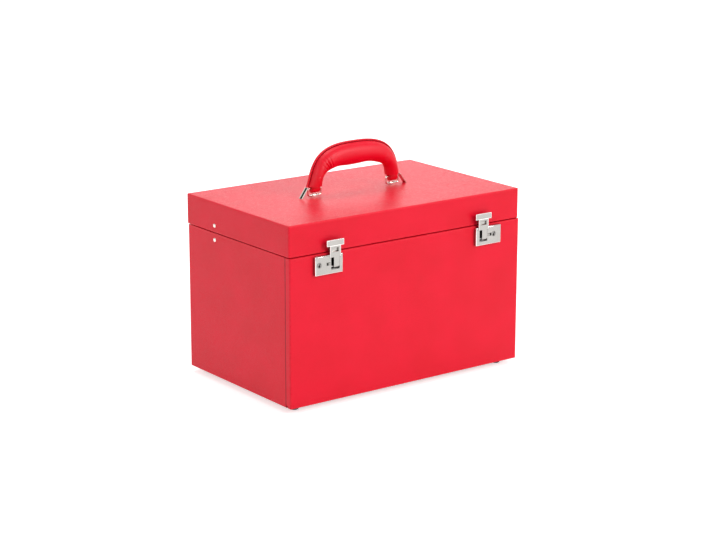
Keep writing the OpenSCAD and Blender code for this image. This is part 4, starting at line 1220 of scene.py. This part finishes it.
def build_floor():
    bm = bmesh.new()
    bmesh.ops.create_circle(bm, cap_ends=True, segments=FLOOR_SEGMENTS, radius=FLOOR_R)
    floor = new_object("floor", bm)
    floor.location.z = FLOOR_Z
    material = bpy.data.materials.new("floor_white")
    material.use_nodes = True
    tree = material.node_tree
    tree.nodes.clear()
    out = node(tree, "ShaderNodeOutputMaterial")
    matt = node(tree, "ShaderNodeBsdfDiffuse")
    matt.inputs["Color"].default_value = FLOOR_GREY
    glow = node(tree, "ShaderNodeEmission")
    glow.inputs["Color"].default_value = WHITE
    both = node(tree, "ShaderNodeAddShader")
    glow_level = math_node(tree, "MULTIPLY", seen_directly(tree), FLOOR_GLOW)
    tree.links.new(glow_level, glow.inputs["Strength"])
    tree.links.new(matt.outputs["BSDF"], both.inputs[0])
    tree.links.new(glow.outputs["Emission"], both.inputs[1])
    tree.links.new(both.outputs["Shader"], out.inputs["Surface"])
    set_material(floor, material)


def sky_level(tree):
    """White for the camera; for gloss the studio is white round about and darker towards the ceiling."""
    height = split(tree, node(tree, "ShaderNodeTexCoord").outputs["Generated"])["Z"]
    dark = remap(tree, height, 0.0, 1.0 - CEILING, low=CEILING_FROM, high=CEILING_FULL)
    gloss = node(tree, "ShaderNodeLightPath").outputs["Is Glossy Ray"]
    return math_node(tree, "SUBTRACT", 1.0, math_node(tree, "MULTIPLY", dark, gloss))


def build_world():
    world = bpy.data.worlds.new("studio")
    scene.world = world
    world.use_nodes = True
    tree = world.node_tree
    tree.nodes.clear()
    out = node(tree, "ShaderNodeOutputWorld")
    light = node(tree, "ShaderNodeBackground")
    light.inputs["Color"].default_value = WHITE
    light.inputs["Strength"].default_value = WORLD_LIGHT
    white = node(tree, "ShaderNodeBackground")
    white.inputs["Color"].default_value = WHITE
    tree.links.new(sky_level(tree), white.inputs["Strength"])
    both = node(tree, "ShaderNodeMixShader")
    tree.links.new(seen_directly(tree), both.inputs["Fac"])
    tree.links.new(light.outputs["Background"], both.inputs[1])
    tree.links.new(white.outputs["Background"], both.inputs[2])
    tree.links.new(both.outputs["Shader"], out.inputs["Surface"])


def build_lamp(name, place, aim, size, watts):
    data = bpy.data.lights.new(name, "AREA")
    data.shape = "DISK"
    data.size = size
    data.energy = watts
    obj = bpy.data.objects.new(name, data)
    scene.collection.objects.link(obj)
    obj.location = place
    obj.rotation_mode = "QUATERNION"
    obj.rotation_quaternion = (Vector(aim) - Vector(place)).to_track_quat("-Z", "Y")


build_floor()
build_world()
for name, lamp in LAMPS.items():
    build_lamp(name, *lamp)

scene.view_settings.view_transform = "Standard"
